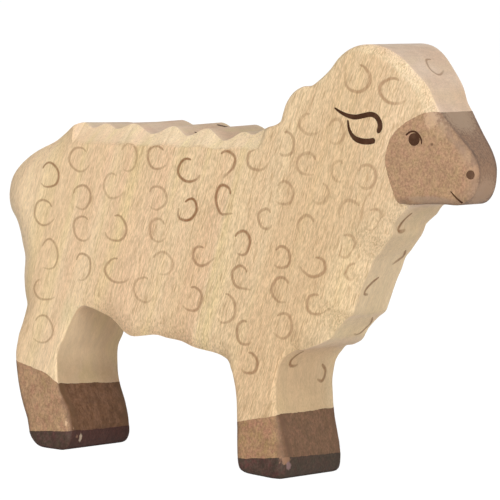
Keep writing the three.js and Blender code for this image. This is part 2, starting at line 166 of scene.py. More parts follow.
@dataclass(frozen=True)
class SawingPattern:
    """The outline that the board is sawn to, in millimetres from the middle of the soles' line."""

    hind_leg_x: float = -45.2
    fore_leg_x: float = 13.3
    hoof_z: float = 4.3
    belly_z: float = 28.2
    back_z: float = 73.9
    back_slope: float = 0.03
    back_length: float = 55.8
    back_rise: float = 3.2
    head_x: float = 35.8
    head_z: float = 96.8
    chamfer_drop: float = 3.7
    chamfer_widening: float = 0.75
    left_chamfer: float = 0.25
    station_step: float = 0.55

    def points(self) -> list[PatternPoint]:
        """Lists the pattern's points once round, with the wood on the left.

        Returns:
            Points from the hind sole over arch, belly, fore leg, chest, head, back and rump.
        """
        rows: list[PatternPoint] = []

        def add(x: float, z: float, edge: SandedEdge, pairs: Iterable[tuple[float, float]]) -> None:
            """Adds points counted from one place on the figure."""
            rows.extend(PatternPoint(x + dx, z + dz, edge) for dx, dz in pairs)

        hind, fore, belly, hoof = self.hind_leg_x, self.fore_leg_x, self.belly_z, self.hoof_z
        back, top_x, top_z = self.back_z, self.head_x, self.head_z
        add(hind, 0, SOLE_EDGE, [(0.3, 0), (3.8, 0), (5.6, 0.75), (6.35, 2.5)])
        add(hind, hoof, FOOT_EDGE, [(6.4, 0.5), (5.4, 4.5)])
        add(hind, belly, HOCK_EDGE, [(2.6, -13.8), (1.9, -9.5), (1.9, -6), (3.0, -3.4)])
        add(hind, belly, ARCH_EDGE, [(5.3, 2.2), (6.7, 4.3), (8.1, 5.1), (9.6, 4.9)])
        add(hind, belly, FOLD_EDGE, [(14.6, 3.0), (16.5, 1.8), (18.5, 0.15), (20, -0.55)])
        add(hind, belly, ROLL_EDGE, [(21.4, -0.7), (27.7, 0.25)])
        add(hind, belly, FOLD_EDGE, [(30.3, -0.15), (34.3, -0.5)])
        add(fore, belly, BELLY_EDGE, [(-20.4, -1.5), (-13.8, -2.35), (-11.3, -3.35)])
        add(fore, belly, LEG_EDGE, [(-9.5, -5.0), (-8.45, -7.7), (-7.7, -10.9)])
        add(fore, hoof, FOOT_EDGE, [(-7.3, 5.9)])
        add(fore, hoof, SOLE_EDGE, [(-6.55, -0.7)])
        add(fore, 0, SOLE_EDGE, [(-5.85, 1.35), (-4.6, 0.65), (-1, 0.3)])
        add(fore, 0, FORE_SOLE_EDGE, [(4.5, 0.1), (5.6, 0.85)])
        add(fore, hoof, FORE_SOLE_EDGE, [(5.95, -0.9)])
        add(fore, hoof, FORE_FOOT_EDGE, [(5.35, 2.4)])
        add(fore, hoof, FOOT_EDGE, [(4.1, 7.9)])
        add(fore, belly, LEG_EDGE, [(3.4, -13.8), (3, -10.8), (2.7, -7.8), (2.9, -5.7)])
        add(fore, belly, LEG_EDGE, [(3.4, -3.2), (4.9, -1)])
        add(fore, belly, ARMPIT_EDGE, [(6.8, 0.5), (8.2, 0.7)])
        add(fore, belly, CREASE_EDGE, [(11.4, 2.1)])
        add(fore, belly, CHEST_EDGE, [(13.7, 3.8), (14.5, 5.2), (17.1, 8), (18.8, 9.4), (19.5, 11.2)])
        add(top_x, top_z, CHEST_EDGE, [(-1.2, -52.1), (0, -49.4), (0.9, -46.9), (2.35, -45.2)])
        add(top_x, top_z, DEWLAP_EDGE, [(4.5, -42.5), (5.6, -41)])
        add(top_x, top_z, COLLAR_EDGE, [(5.8, -39.1)])
        add(top_x, top_z, THROAT_EDGE, [(7.6, -36.8), (9.5, -34.7)])
        add(top_x, top_z, MUZZLE_EDGE, [(11.7, -33.9), (17, -33.4), (20.8, -33.3), (22.9, -32.1)])
        add(top_x, top_z, MUZZLE_EDGE, [(24.3, -29.6), (24.6, -26.2), (24.3, -24.5), (22.9, -21.9)])
        add(top_x, top_z, MUZZLE_EDGE, [(19.2, -17.7), (15.9, -13.7)])
        add(top_x, top_z, HEAD_EDGE, [(14.6, -11.9), (12.9, -8.6), (10.1, -5.5), (6.3, -2.1)])
        add(top_x, top_z, HEAD_EDGE, [(3.1, -0.5), (0, 0)])
        add(top_x, top_z, NAPE_EDGE, [(-2.5, -0.3), (-5, -1.3), (-7.5, -3.2), (-9.9, -6.2)])
        add(top_x, top_z, NAPE_EDGE, [(-12.4, -8.5), (-14.4, -9.9), (-16.5, -10.2), (-18.9, -11.6)])
        add(top_x, top_z, NAPE_EDGE, [(-20.7, -14.1), (-21.4, -16.2), (-22, -18.2), (-23.1, -19)])
        add(hind, back, NAPE_EDGE, [(self.back_length, self.back_rise)])
        waves = [
            (52.4, -0.73), (50.2, 0.5), (47.4, 0), (43.6, 2.1), (37.4, -0.3), (33.2, 1.5), (28.2, -0.4),
            (23.5, 1.5), (17.3, -0.5), (13.3, 0.85), (9.7, -0.2), (6.6, 0.9), (3.5, -0.2),
        ]
        for along, under in waves:
            depth = self.chamfer_drop + self.chamfer_widening * (1 - along / self.back_length) - under
            chamfer = SandedEdge(depth, depth, Shaping.CHAMFER, self.left_chamfer)
            rows.append(PatternPoint(hind + along, back + self.back_slope * along - under, chamfer))
        add(hind, back, RUMP_EDGE, [(1.9, -0.35), (-0.5, -2.45), (-3.1, -4.45), (-6.8, -6.3), (-9.5, -7.9)])
        add(hind, back, RUMP_EDGE, [(-13, -10.9), (-14.9, -13.8), (-15.5, -17.7), (-14.8, -20.6)])
        add(hind, back, RUMP_EDGE, [(-13, -23.2), (-11.9, -25.8), (-11.1, -28.5), (-10.3, -31.2)])
        add(hind, back, RUMP_EDGE, [(-10.3, -35.7)])
        add(hind, belly, RUMP_EDGE, [(-9.8, 6.3), (-9.1, 3.6)])
        add(hind, belly, THIGH_EDGE, [(-9.2, 0)])
        add(hind, belly, NAPE_EDGE, [(-9.6, -3.2)])
        add(hind, belly, LEG_EDGE, [(-10.1, -7.3), (-9.8, -10.1), (-9, -14.1)])
        add(hind, hoof, FOOT_EDGE, [(-8.1, 5.8), (-6.4, 1.8)])
        add(hind, 0, SOLE_EDGE, [(-5.2, 2.8), (-4.3, 1.5), (-2.6, 0.3)])
        return rows

    def stations(self) -> np.ndarray:
        """Samples the smooth outline closely.

        Returns:
            One row per station: x, z, width, setback, the shares of a soft slope and of a flat
            chamfer in the edge's shape, and the edge's share on the left side.
        """
        points = self.points()
        count = len(points)
        spots = np.array([(point.x, point.z) for point in points])
        edges = np.array([
            (
                point.edge.width,
                point.edge.setback,
                float(point.edge.shaping is Shaping.SLOPE),
                float(point.edge.shaping is Shaping.CHAMFER),
                point.edge.left_share,
            )
            for point in points
        ])
        rows = []
        for index in range(count):
            around = [spots[(index + offset) % count] for offset in (-1, 0, 1, 2)]
            span = float(np.linalg.norm(around[2] - around[1]))
            steps = max(1, round(span / self.station_step))
            for step in range(steps):
                share = step / steps
                x, z = smooth_between(around, share)
                mixed = edges[index] * (1 - share) + edges[(index + 1) % count] * share
                rows.append((x, max(0.0, z), *mixed))
        return np.array(rows)


def smooth_between(around: list[np.ndarray], share: float) -> np.ndarray:
    """Finds a point on the centripetal spline through four points.

    Args:
        around: The point before, the two points of the stretch, and the point after.
        share: How far along the stretch, from 0 to 1.

    Returns:
        The point's coordinates.
    """
    before, start, end, after = around
    lengths = [float(np.linalg.norm(second - first)) for first, second in zip(around, around[1:])]
    gaps = [max(length**0.5, SHORTEST_GAP) for length in lengths]
    leave = (start - before) / gaps[0] - (end - before) / (gaps[0] + gaps[1]) + (end - start) / gaps[1]
    reach = (end - start) / gaps[1] - (after - start) / (gaps[1] + gaps[2]) + (after - end) / gaps[2]
    leave, reach = leave * gaps[1], reach * gaps[1]
    square, cube = share * share, share**3
    return (
        (2 * cube - 3 * square + 1) * start
        + (cube - 2 * square + share) * leave
        + (3 * square - 2 * cube) * end
        + (cube - square) * reach
    )


def smooth_line(points: Iterable[Iterable[float]], steps: int) -> list[np.ndarray]:
    """Samples an open spline through points.

    Args:
        points: The points in order.
        steps: How many samples each stretch gets.

    Returns:
        The samples, with both ends.
    """
    spots = [np.array(point, float) for point in points]
    spots = [2 * spots[0] - spots[1], *spots, 2 * spots[-1] - spots[-2]]
    fine = []
    for index in range(1, len(spots) - 2):
        around = spots[index - 1 : index + 3]
        fine += [smooth_between(around, step / steps) for step in range(steps)]
    return [*fine, spots[-2]]


def take_up(piece: bpy.types.Object) -> None:
    """Selects one piece alone and makes it active."""
    bpy.ops.object.select_all(action="DESELECT")
    piece.select_set(True)
    bpy.context.view_layer.objects.active = piece


def lay_grid(columns: int, rows: int, size: float = 1.0, **settings: object) -> bpy.types.Object:
    """Lays a flat grid to model from.

    Args:
        columns: How many squares it has along x.
        rows: How many squares it has along y.
        size: The length of its side.
        **settings: Other options of the grid.

    Returns:
        The grid.
    """
    bpy.ops.object.select_all(action="DESELECT")
    bpy.ops.mesh.primitive_grid_add(x_subdivisions=columns, y_subdivisions=rows, size=size, **settings)
    return bpy.context.active_object


def store(piece: bpy.types.Object, name: str, values: np.ndarray) -> None:
    """Stores one value for each of a piece's points."""
    attribute = piece.data.attributes.new(name, "FLOAT", "POINT")
    attribute.data.foreach_set("value", values.astype(np.float32))


@contextmanager
def at_the_bench(piece: bpy.types.Object) -> Iterator[Callable[[], bmesh.types.BMesh]]:
    """Opens a piece in edit mode and closes it again.

    Args:
        piece: The mesh object to work on.

    Yields:
        A function that gives the mesh as it is after the last operator.
    """
    take_up(piece)
    bpy.ops.object.mode_set(mode="EDIT")
    yield lambda: bmesh.from_edit_mesh(piece.data)
    bpy.ops.object.mode_set(mode="OBJECT")


def pick(mesh: bmesh.types.BMesh, kind: MeshPart, test: Callable[[object], bool]) -> None:
    """Selects the edges or faces that pass a test, and nothing else.

    Args:
        mesh: The mesh in edit mode.
        kind: Whether edges or faces are picked.
        test: What an edge or face has to be.
    """
    bpy.ops.mesh.select_all(action="DESELECT")
    bpy.ops.mesh.select_mode(type=kind.name)
    for item in getattr(mesh, kind.value):
        if test(item):
            item.select_set(True)
    mesh.select_flush_mode()


def apply_modifier(piece: bpy.types.Object, kind: str, **settings: object) -> None:
    """Adds a modifier, sets it and applies it.

    Args:
        piece: The mesh object.
        kind: The modifier's type.
        **settings: Its values by name.
    """
    take_up(piece)
    modifier = piece.modifiers.new(kind.lower(), kind)
    for name, value in settings.items():
        setattr(modifier, name, value)
    bpy.ops.object.modifier_apply(modifier=modifier.name)


def hand_over(piece: bpy.types.Object, slot: str, *nodes: str) -> bpy.types.Object:
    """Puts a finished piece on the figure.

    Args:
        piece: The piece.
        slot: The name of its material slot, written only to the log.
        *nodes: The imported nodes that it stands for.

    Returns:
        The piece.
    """
    take_up(piece)
    bpy.ops.object.shade_smooth_by_angle(angle=math.radians(CRISP_CORNER_DEGREES))
    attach(piece, BODY)
    if nodes:
        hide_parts(*nodes)
    piece.data.calc_loop_triangles()
    LOG.info("%s: %d triangles, slot %s", piece.name, len(piece.data.loop_triangles), slot)
    return piece


class NodeDesk:
    """Places and joins nodes in one shader tree."""

    def __init__(self, tree: bpy.types.NodeTree) -> None:
        """Starts on an empty tree."""
        self.tree = tree
        self.tree.nodes.clear()

    def place(
        self, kind: str, wires: dict[str | int, object] | None = None, **settings: object
    ) -> bpy.types.Node:
        """Places a node.

        Args:
            kind: The node's type.
            wires: What goes into its inputs: a socket to join, or a value.
            **settings: The node's own settings.

        Returns:
            The node.
        """
        node = self.tree.nodes.new(kind)
        for name, value in settings.items():
            setattr(node, name, value)
        for name, value in (wires or {}).items():
            if isinstance(value, Socket):
                self.tree.links.new(value, node.inputs[name])
            else:
                node.inputs[name].default_value = value
        return node

    def sum(self, kind: str, first: object, second: object = 0.0) -> Socket:
        """Places a Math node of a kind and gives its result."""
        return self.place("ShaderNodeMath", {0: first, 1: second}, operation=kind).outputs[0]

    def product(self, *factors: object) -> Socket:
        """Multiplies several values."""
        result = factors[0]
        for factor in factors[1:]:
            result = self.sum("MULTIPLY", result, factor)
        return result

    def spread(
        self, value: object, low: float, high: float, start: float = 0.0, end: float = 1.0
    ) -> Socket:
        """Maps a range of a value smoothly to another range."""
        wires = {"Value": value, "From Min": low, "From Max": high, "To Min": start, "To Max": end}
        node = self.place("ShaderNodeMapRange", wires, interpolation_type="SMOOTHSTEP")
        return node.outputs["Result"]

    def blend(self, share: object, first: object, second: object) -> Socket:
        """Mixes two colours by a share."""
        node = self.place("ShaderNodeMix", {0: share, 6: first, 7: second}, data_type="RGBA")
        return node.outputs[2]

    def lighten(self, colour: object, factor: object) -> Socket:
        """Makes a colour brighter or darker by a factor."""
        node = self.place("ShaderNodeVectorMath", {0: colour, 3: factor}, operation="SCALE")
        return node.outputs[0]

    def vector(self, kind: str, first: object, second: object) -> bpy.types.Node:
        """Places a Vector Math node of a kind."""
        return self.place("ShaderNodeVectorMath", {0: first, 1: second}, operation=kind)

    def tint(self, share: object, colour: object, factor: Spot) -> Socket:
        """Multiplies a colour's parts where a share says so."""
        return self.blend(share, colour, self.vector("MULTIPLY", colour, factor).outputs[0])

    def rest(self, share: object) -> Socket:
        """Gives what a share leaves of one."""
        return self.sum("SUBTRACT", 1.0, share)

    def parts(self, vector: object) -> bpy.types.NodeOutputs:
        """Takes a vector apart into X, Y and Z."""
        return self.place("ShaderNodeSeparateXYZ", {0: vector}).outputs

    def cloud(self, vector: object, scale: Spot, detail: float = 2.0, rough: float = 0.5) -> Socket:
        """Places noise on a vector that is stretched first."""
        mapping = self.place("ShaderNodeMapping", {"Vector": vector, "Scale": scale})
        wires = {"Vector": mapping.outputs[0], "Scale": 1.0, "Detail": detail, "Roughness": rough}
        return self.place("ShaderNodeTexNoise", wires).outputs["Fac"]

    def stored(self, name: str) -> Socket:
        """Reads a value stored on the mesh."""
        return self.place("ShaderNodeAttribute", attribute_name=name).outputs["Fac"]

    def here(self) -> Socket:
        """Gives the place on the piece."""
        return self.place("ShaderNodeTexCoord").outputs["Object"]

    def close(
        self, colour: Socket, roughness: Socket, height: Socket, bump: float, gloss: float = 0.35
    ) -> None:
        """Ends a material in a Principled shader.

        Args:
            colour: The colour over the surface.
            roughness: The roughness over the surface.
            height: The fine relief.
            bump: How strongly the relief shows.
            gloss: How strongly the surface shines.
        """
        fine = {"Strength": bump, "Distance": RELIEF_DEPTH, "Height": height}
        relief = self.place("ShaderNodeBump", fine)
        wires = {
            "Base Color": colour,
            "Roughness": roughness,
            "Normal": relief.outputs[0],
            "Specular IOR Level": gloss,
        }
        shader = self.place("ShaderNodeBsdfPrincipled", wires)
        self.place("ShaderNodeOutputMaterial", {"Surface": shader.outputs[0]})


def group_socket(tree: bpy.types.NodeTree, name: str, out: bool, kind: str = "NodeSocketFloat") -> None:
    """Adds a named socket to a node group."""
    tree.interface.new_socket(name=name, in_out="OUTPUT" if out else "INPUT", socket_type=kind)


@dataclass(frozen=True)
class BoardGrain:
    """Grain of the board: pale bands, rosy and straw patches, fine figure and short dark flecks.

    A scale counts features to a metre across the grain, through the board and along the grain. A
    span is a stretch of x, in metres, over which a tone comes in.
    """

    lean_degrees: float = 14.5
    pale: Colour = rgb(230, 204, 168)
    deep: Colour = rgb(221, 191, 153)
    rosy: Colour = rgb(224, 188, 154)
    straw: Colour = rgb(222, 200, 150)
    fleck: Colour = rgb(176, 138, 98)
    fleck_amount: float = 0.6
    drift_scale: float = 30.0
    drift: Spot = (0.0015, 0.0015, 0.0)
    band_scale: Spot = (120.0, 60.0, 9.0)
    patch_scale: Spot = (280.0, 120.0, 14.0)
    streak_scale: Spot = (1000.0, 420.0, 60.0)
    figure_scale: Spot = (4200.0, 2800.0, 760.0)
    fleck_scale: Spot = (4200.0, 2400.0, 270.0)
    figure_light: float = 1.2
    figure_dark: Spot = (0.76, 0.735, 0.7)
    front_tint: Spot = (0.89, 0.88, 0.835)
    head_tint: Spot = (0.975, 0.985, 1.03)
    figure_span: Span = (-0.055, 0.0)
    patch_span: Span = (-0.05, -0.025)
    patch_end_span: Span = (-0.005, 0.015)
    front_span: Span = (-0.055, 0.05)
    head_span: Span = (0.028, 0.044)

    def group(self) -> bpy.types.NodeTree:
        """Builds the shader group of the grain once.

        Returns:
            The group, with Color, Tone and Height.
        """
        found = bpy.data.node_groups.get("board_grain")
        if found:
            return found
        tree = bpy.data.node_groups.new("board_grain", "ShaderNodeTree")
        for name in ("Pale", "Deep", "Rosy", "Straw", "Fleck"):
            group_socket(tree, name, False, "NodeSocketColor")
        group_socket(tree, "Fleck Amount", False)
        group_socket(tree, "Color", True, "NodeSocketColor")
        group_socket(tree, "Tone", True)
        group_socket(tree, "Height", True)
        desk = NodeDesk(tree)
        given = desk.place("NodeGroupInput").outputs
        along = desk.parts(desk.here())["X"]
        line = self.line(desk)
        streaks = desk.cloud(line, self.streak_scale, 3.0, 0.6)
        figure = desk.cloud(line, self.figure_scale, 2.0, 0.65)
        bands = desk.spread(desk.cloud(line, self.band_scale, 3.0), 0.32, 0.68)
        across = desk.stored("across")
        there = desk.spread(along, *self.figure_span, 0.6, 1.0)
        planed = desk.spread(desk.stored("fresh_cut"), 0.0, 1.0, 1.0, 0.6)
        flecks = desk.spread(desk.cloud(line, self.fleck_scale, 1.0), 0.57, 0.7)
        flat = desk.spread(across, 0.3, 0.8, 1.0, 0.2)
        shown = desk.product(flecks, there, flat, planed, given["Fleck Amount"])
        ground = self.ground(desk, given, line, along, bands)
        calm = desk.product(there, desk.spread(across, 0.3, 0.8, 1.0, 0.4), planed)
        lit = desk.lighten(ground, desk.spread(calm, 0.0, 1.0, 1.0, self.figure_light))
        dark = desk.tint(calm, ground, self.figure_dark)
        figured = desk.blend(desk.spread(figure, 0.25, 0.75), lit, dark)
        fallen = desk.tint(desk.spread(along, *self.front_span), figured, self.front_tint)
        headward = desk.tint(desk.spread(along, *self.head_span), fallen, self.head_tint)
        streaked = desk.lighten(headward, desk.spread(streaks, 0.3, 0.7, 1.11, 1.01))
        colour = desk.blend(shown, streaked, given["Fleck"])
        pores = desk.product(desk.sum("ADD", figure, shown), 0.5)
        height = desk.sum("SUBTRACT", desk.product(streaks, 0.4), pores)
        tone = desk.sum("ADD", desk.product(bands, 0.5), desk.product(streaks, 0.5))
        desk.place("NodeGroupOutput", {"Color": colour, "Tone": tone, "Height": height})
        return tree

    def line(self, desk: NodeDesk) -> Socket:
        """Gives the place on the board along its leaning, slightly wandering grain."""
        lean = (0, -math.radians(self.lean_degrees), 0)
        turned = desk.place("ShaderNodeMapping", {"Vector": desk.here(), "Rotation": lean}).outputs[0]
        wires = {"Vector": turned, "Scale": self.drift_scale, "Detail": 1.0}
        drift = desk.place("ShaderNodeTexNoise", wires).outputs["Color"]
        added = {0: drift, 1: self.drift, 2: turned}
        return desk.place("ShaderNodeVectorMath", added, operation="MULTIPLY_ADD").outputs[0]

    def ground(
        self, desk: NodeDesk, given: bpy.types.NodeOutputs, line: Socket, along: Socket, bands: Socket
    ) -> Socket:
        """Places the broad bands and the rosy and straw patches.

        Args:
            desk: The group's desk.
            given: The group's inputs.
            line: The place along the grain.
            along: The place along the sheep.
            bands: The share of the deeper bands.

        Returns:
            The colour under the fine figure.
        """
        patches = desk.cloud(line, self.patch_scale, 2.0)
        behind = desk.spread(along, *self.patch_span, 0.55, 0.9)
        mixed = desk.product(behind, desk.spread(along, *self.patch_end_span, 0.65, 0.18))
        rosy = desk.product(desk.spread(patches, 0.5, 0.7), mixed)
        straw = desk.product(desk.spread(patches, 0.5, 0.3), mixed)
        banded = desk.blend(bands, given["Pale"], given["Deep"])
        return desk.blend(straw, desk.blend(rosy, banded, given["Rosy"]), given["Straw"])

    def use(self, desk: NodeDesk) -> dict[str, Socket]:
        """Places the grain in a material.

        Args:
            desk: The material's desk.

        Returns:
            The group's outputs by name.
        """
        values = {
            "Pale": self.pale,
            "Deep": self.deep,
            "Rosy": self.rosy,
            "Straw": self.straw,
            "Fleck": self.fleck,
            "Fleck Amount": self.fleck_amount,
        }
        node = desk.place("ShaderNodeGroup", values, node_tree=self.group())
        return {socket.name: socket for socket in node.outputs}


class Finish:
    """A finish whose material is made once and shared by all its pieces."""

    name: str

    def material(self) -> bpy.types.Material:
        """Gives the finish's material.

        Returns:
            The material, made at its first use.
        """
        found = bpy.data.materials.get(self.name)
        if found:
            return found
        material = bpy.data.materials.new(self.name)
        material.use_nodes = True
        self.dress(NodeDesk(material.node_tree))
        return material

    def dress(self, desk: NodeDesk) -> None:
        """Places the finish's nodes."""
        raise NotImplementedError


@dataclass(frozen=True)
class Shade:
    """A place on both flanks where painted shade darkens the bare board, in millimetres."""

    spot: Spot
    reach: float
    tint: Spot

    def share(self, desk: NodeDesk) -> Socket:
        """Gives the shade's strength, the same all through the board."""
        aside = desk.vector("MULTIPLY", desk.here(), (1.0, 0.0, 1.0)).outputs[0]
        spot = tuple(part * MM for part in self.spot)
        away = desk.vector("DISTANCE", aside, spot).outputs["Value"]
        return desk.spread(away, self.reach * MM, 0.0)


@dataclass(frozen=True)
class BareWood(Finish):
    """Sanded, bare board, greyer where the saw crossed the grain, with painted highlight and shade.

    Painted highlight lightens the narrow faces in front, the chest's slopes, the back's chamfer and the
    sanded edges' crests; painted shade darkens two places on the flanks. It is also darker low on the
    legs' narrow faces and on the hind leg's narrow faces just above the sock. A span is a stretch of x
    or of the height z, in metres, over which a tint comes in.
    """

    grain: BoardGrain
    name: str = "bare_board"
    end_grain_tint: Spot = (1.04, 1.05, 1.2)
    chamfer_highlight_tint: Spot = (1.08, 1.135, 1.17)
    leg_tint: Spot = (0.93, 0.935, 0.93)
    low_hind_dark_tint: Spot = (0.76, 0.73, 0.7)
    chest_front_highlight_tint: Spot = (1.13, 1.18, 1.24)
    head_tint: Spot = (1.08, 1.085, 1.12)
    slope_highlight_tint: Spot = (0.995, 1.03, 1.045)
    crest_highlight: float = 1.05
    painted_shades: tuple[Shade, ...] = (
        Shade((24.3, 0.0, 30.6), 7.5, (0.76, 0.75, 0.74)),
        Shade((-40.6, 0.0, 31.0), 5.5, (0.84, 0.88, 0.85)),
    )
    front_x: Span = (0.019, 0.027)
    head_z: Span = (0.058, 0.066)
    leg_z: Span = (0.027, 0.017)
    low_hind_dark_x: Span = (-0.03, -0.036)
    low_hind_dark_z: Span = (0.0225, 0.017)
    low_hind_dark_lean: float = 0.167
    fresh_x: Span = (-0.043, -0.028)

    def colour(self, desk: NodeDesk, grain: dict[str, Socket]) -> Socket:
        """Places the colour of the bare board.

        Args:
            desk: The material's desk.
            grain: The grain's outputs.

        Returns:
            The colour over the surface.
        """
        narrow = desk.spread(desk.stored("across"), 0.1, 0.7)
        flank = desk.rest(narrow)
        crest = desk.stored("crest")
        place = desk.parts(desk.here())
        ahead = desk.spread(place["X"], *self.front_x)
        high = desk.spread(place["Z"], *self.head_z)
        low = desk.spread(place["Z"], *self.leg_z)
        behind = desk.spread(place["X"], *self.low_hind_dark_x)
        leaning = desk.sum("ADD", place["Z"], desk.product(place["Y"], self.low_hind_dark_lean))
        crossed = desk.spread(desk.stored("end_grain"), 0.4, 0.8)
        tints = [
            (desk.product(crossed, narrow), self.end_grain_tint),
            (desk.product(narrow, low, desk.rest(ahead)), self.leg_tint),
            # Darker low on the hind leg's narrow faces, just above the sock.
            (desk.product(narrow, behind, desk.spread(leaning, *self.low_hind_dark_z)), self.low_hind_dark_tint),
            # Painted highlight: the narrow faces in front, on the head and on the chest, are made lighter.
            (desk.product(narrow, ahead, high), self.head_tint),
            (desk.product(narrow, ahead, desk.rest(high)), self.chest_front_highlight_tint),
        ]
        # Painted shade of the soft slopes above the fore leg and above the hind leg's arch.
        tints += [(desk.product(shade.share(desk), flank), shade.tint) for shade in self.painted_shades]
        # Painted highlight: the sanded slopes in front are made paler.
        tints.append((desk.product(desk.spread(crest, 0.05, 0.5), ahead, flank), self.slope_highlight_tint))
        colour = grain["Color"]
        for share, factor in tints:
            colour = desk.tint(share, colour, factor)
        # Painted highlight: the crests of the sanded edges are made lighter.
        crest_painted_light = desk.lighten(colour, desk.spread(crest, 0.2, 0.9, 1.0, self.crest_highlight))
        # Painted highlight: the back's chamfer is made paler, weaker towards its rear end.
        chamfer_highlight_begun = desk.spread(place["X"], *self.fresh_x, 0.1, 1.0)
        return desk.tint(desk.product(desk.stored("fresh_cut"), chamfer_highlight_begun), crest_painted_light, self.chamfer_highlight_tint)

    def dress(self, desk: NodeDesk) -> None:
        """Places the nodes of the bare board."""
        grain = self.grain.use(desk)
        rough = desk.spread(grain["Tone"], 0.2, 0.8, 0.46, 0.6)
        desk.close(self.colour(desk, grain), rough, grain["Height"], 0.14)


@dataclass(frozen=True)
class CoatSpot:
    """A spot in another colour on a coat of paint, in millimetres, used for rubbed places and for painted
    shade.
    """

    spot: Spot
    radius: float
    shown: Colour
    share: float = 1.0
    tall: float = 1.0

    def mark_spot(self, desk: NodeDesk, colour: Socket, speckle: Socket) -> Socket:
        """Blends the spot's colour into a coat.

        Args:
            desk: The coat's desk.
            colour: The coat's colour so far.
            speckle: Fine noise that frays the nick's rim.

        Returns:
            The colour with the spot.
        """
        squash = (1.0, 1.0, 1 / self.tall)
        spot = tuple(part * MM * factor for part, factor in zip(self.spot, squash))
        radius = self.radius * MM
        near = desk.vector("MULTIPLY", desk.here(), squash).outputs[0]
        away = desk.vector("DISTANCE", near, spot).outputs["Value"]
        fray = desk.product(desk.sum("SUBTRACT", speckle, 0.5), radius * 1.2)
        frayed = desk.sum("ADD", away, fray)
        inside = desk.spread(frayed, radius * 1.1, radius * 0.6, 0.0, self.share)
        return desk.blend(inside, colour, self.shown)


@dataclass(frozen=True)
class Glaze(Finish):
    """Thin brown paint, mottled over the grain, with painted shade on the board's narrow faces and edges.

    The turn says how far the wood has to face away from the flanks for the narrow faces' painted shade
    to begin and to be full. A scale counts features to a metre along x, y and z.
    """

    name: str
    grain: BoardGrain
    thin: Colour
    thick: Colour
    rusty: Colour
    olive: Colour
    narrow_face_shade: Colour
    # worn is the colour of the painted shade along the rounded edges.
    worn: Colour
    rim_dark: Colour
    edge_shade_share: float
    gloss: float = 0.35
    turn: Span = (0.15, 0.85)
    coat_spots: tuple[CoatSpot, ...] = ()
    blotch_scale: Spot = (330.0, 330.0, 240.0)
    hue_scale: Spot = (700.0, 700.0, 520.0)
    speckle_scale: Spot = (2300.0, 2300.0, 1700.0)

    def dress(self, desk: NodeDesk) -> None:
        """Places the nodes of the glaze."""
        grain = self.grain.use(desk)
        place = desk.here()
        crest, turned = desk.stored("crest"), desk.stored("across")
        blotch = desk.cloud(place, self.blotch_scale, 4.0, 0.65)
        hue = desk.cloud(place, self.hue_scale, 3.0, 0.7)
        speckle = desk.cloud(place, self.speckle_scale, 2.0, 0.7)
        side = desk.blend(desk.spread(blotch, 0.3, 0.7), self.thin, self.thick)
        warmed = desk.blend(desk.spread(hue, 0.5, 0.7, 0.0, 0.7), side, self.rusty)
        cooled = desk.blend(desk.spread(hue, 0.5, 0.3, 0.0, 0.7), warmed, self.olive)
        # Painted shade: the narrow faces, turned away from the flanks, get a darker colour.
        coat = desk.blend(desk.spread(turned, *self.turn), cooled, self.narrow_face_shade)
        hued = desk.blend(desk.spread(hue, 0.35, 0.7, 0.0, 0.3), coat, self.rusty)
        mottled = desk.lighten(hued, desk.spread(speckle, 0.28, 0.72, 1.24, 0.76))
        seen = desk.lighten(mottled, desk.spread(grain["Height"], -0.2, 0.1, 0.94, 1.06))
        # Painted shade: the crests of the rounded edges get the worn colour, in patches.
        patchy = desk.spread(blotch, 0.36, 0.64, 0.2, 1.0)
        crest_painted_light = desk.product(desk.spread(crest, 0.3, 0.95), patchy, self.edge_shade_share)
        # Darker along the rim on the narrow faces, in patches.
        along_rim = desk.spread(crest, 0.35, 0.85)
        rim_dark_share = desk.product(desk.spread(turned, 0.6, 0.95), along_rim, patchy)
        colour = desk.blend(rim_dark_share, desk.blend(crest_painted_light, seen, self.worn), self.rim_dark)
        for coat_spot in self.coat_spots:
            colour = coat_spot.mark_spot(desk, colour, speckle)
        rough = desk.spread(blotch, 0.3, 0.7, 0.48, 0.62)
        height = desk.sum("ADD", desk.product(grain["Height"], 0.6), desk.product(speckle, 0.4))
        desk.close(colour, rough, height, 0.15, self.gloss)


@dataclass(frozen=True)
class DarkLine(Finish):
    """Dark paint of a fine brush, laid on thickly."""

    name: str
    grain: BoardGrain
    ink: Colour
    faded: Colour
    dry_scale: Spot = (900.0, 900.0, 700.0)

    def dress(self, desk: NodeDesk) -> None:
        """Places the nodes of the dark line."""
        grain = self.grain.use(desk)
        dry = desk.cloud(desk.here(), self.dry_scale, 3.0, 0.6)
        colour = desk.blend(desk.spread(dry, 0.4, 0.75), self.ink, self.faded)
        rough = desk.spread(dry, 0.3, 0.7, 0.45, 0.6)
        desk.close(colour, rough, grain["Height"], 0.08, 0.15)


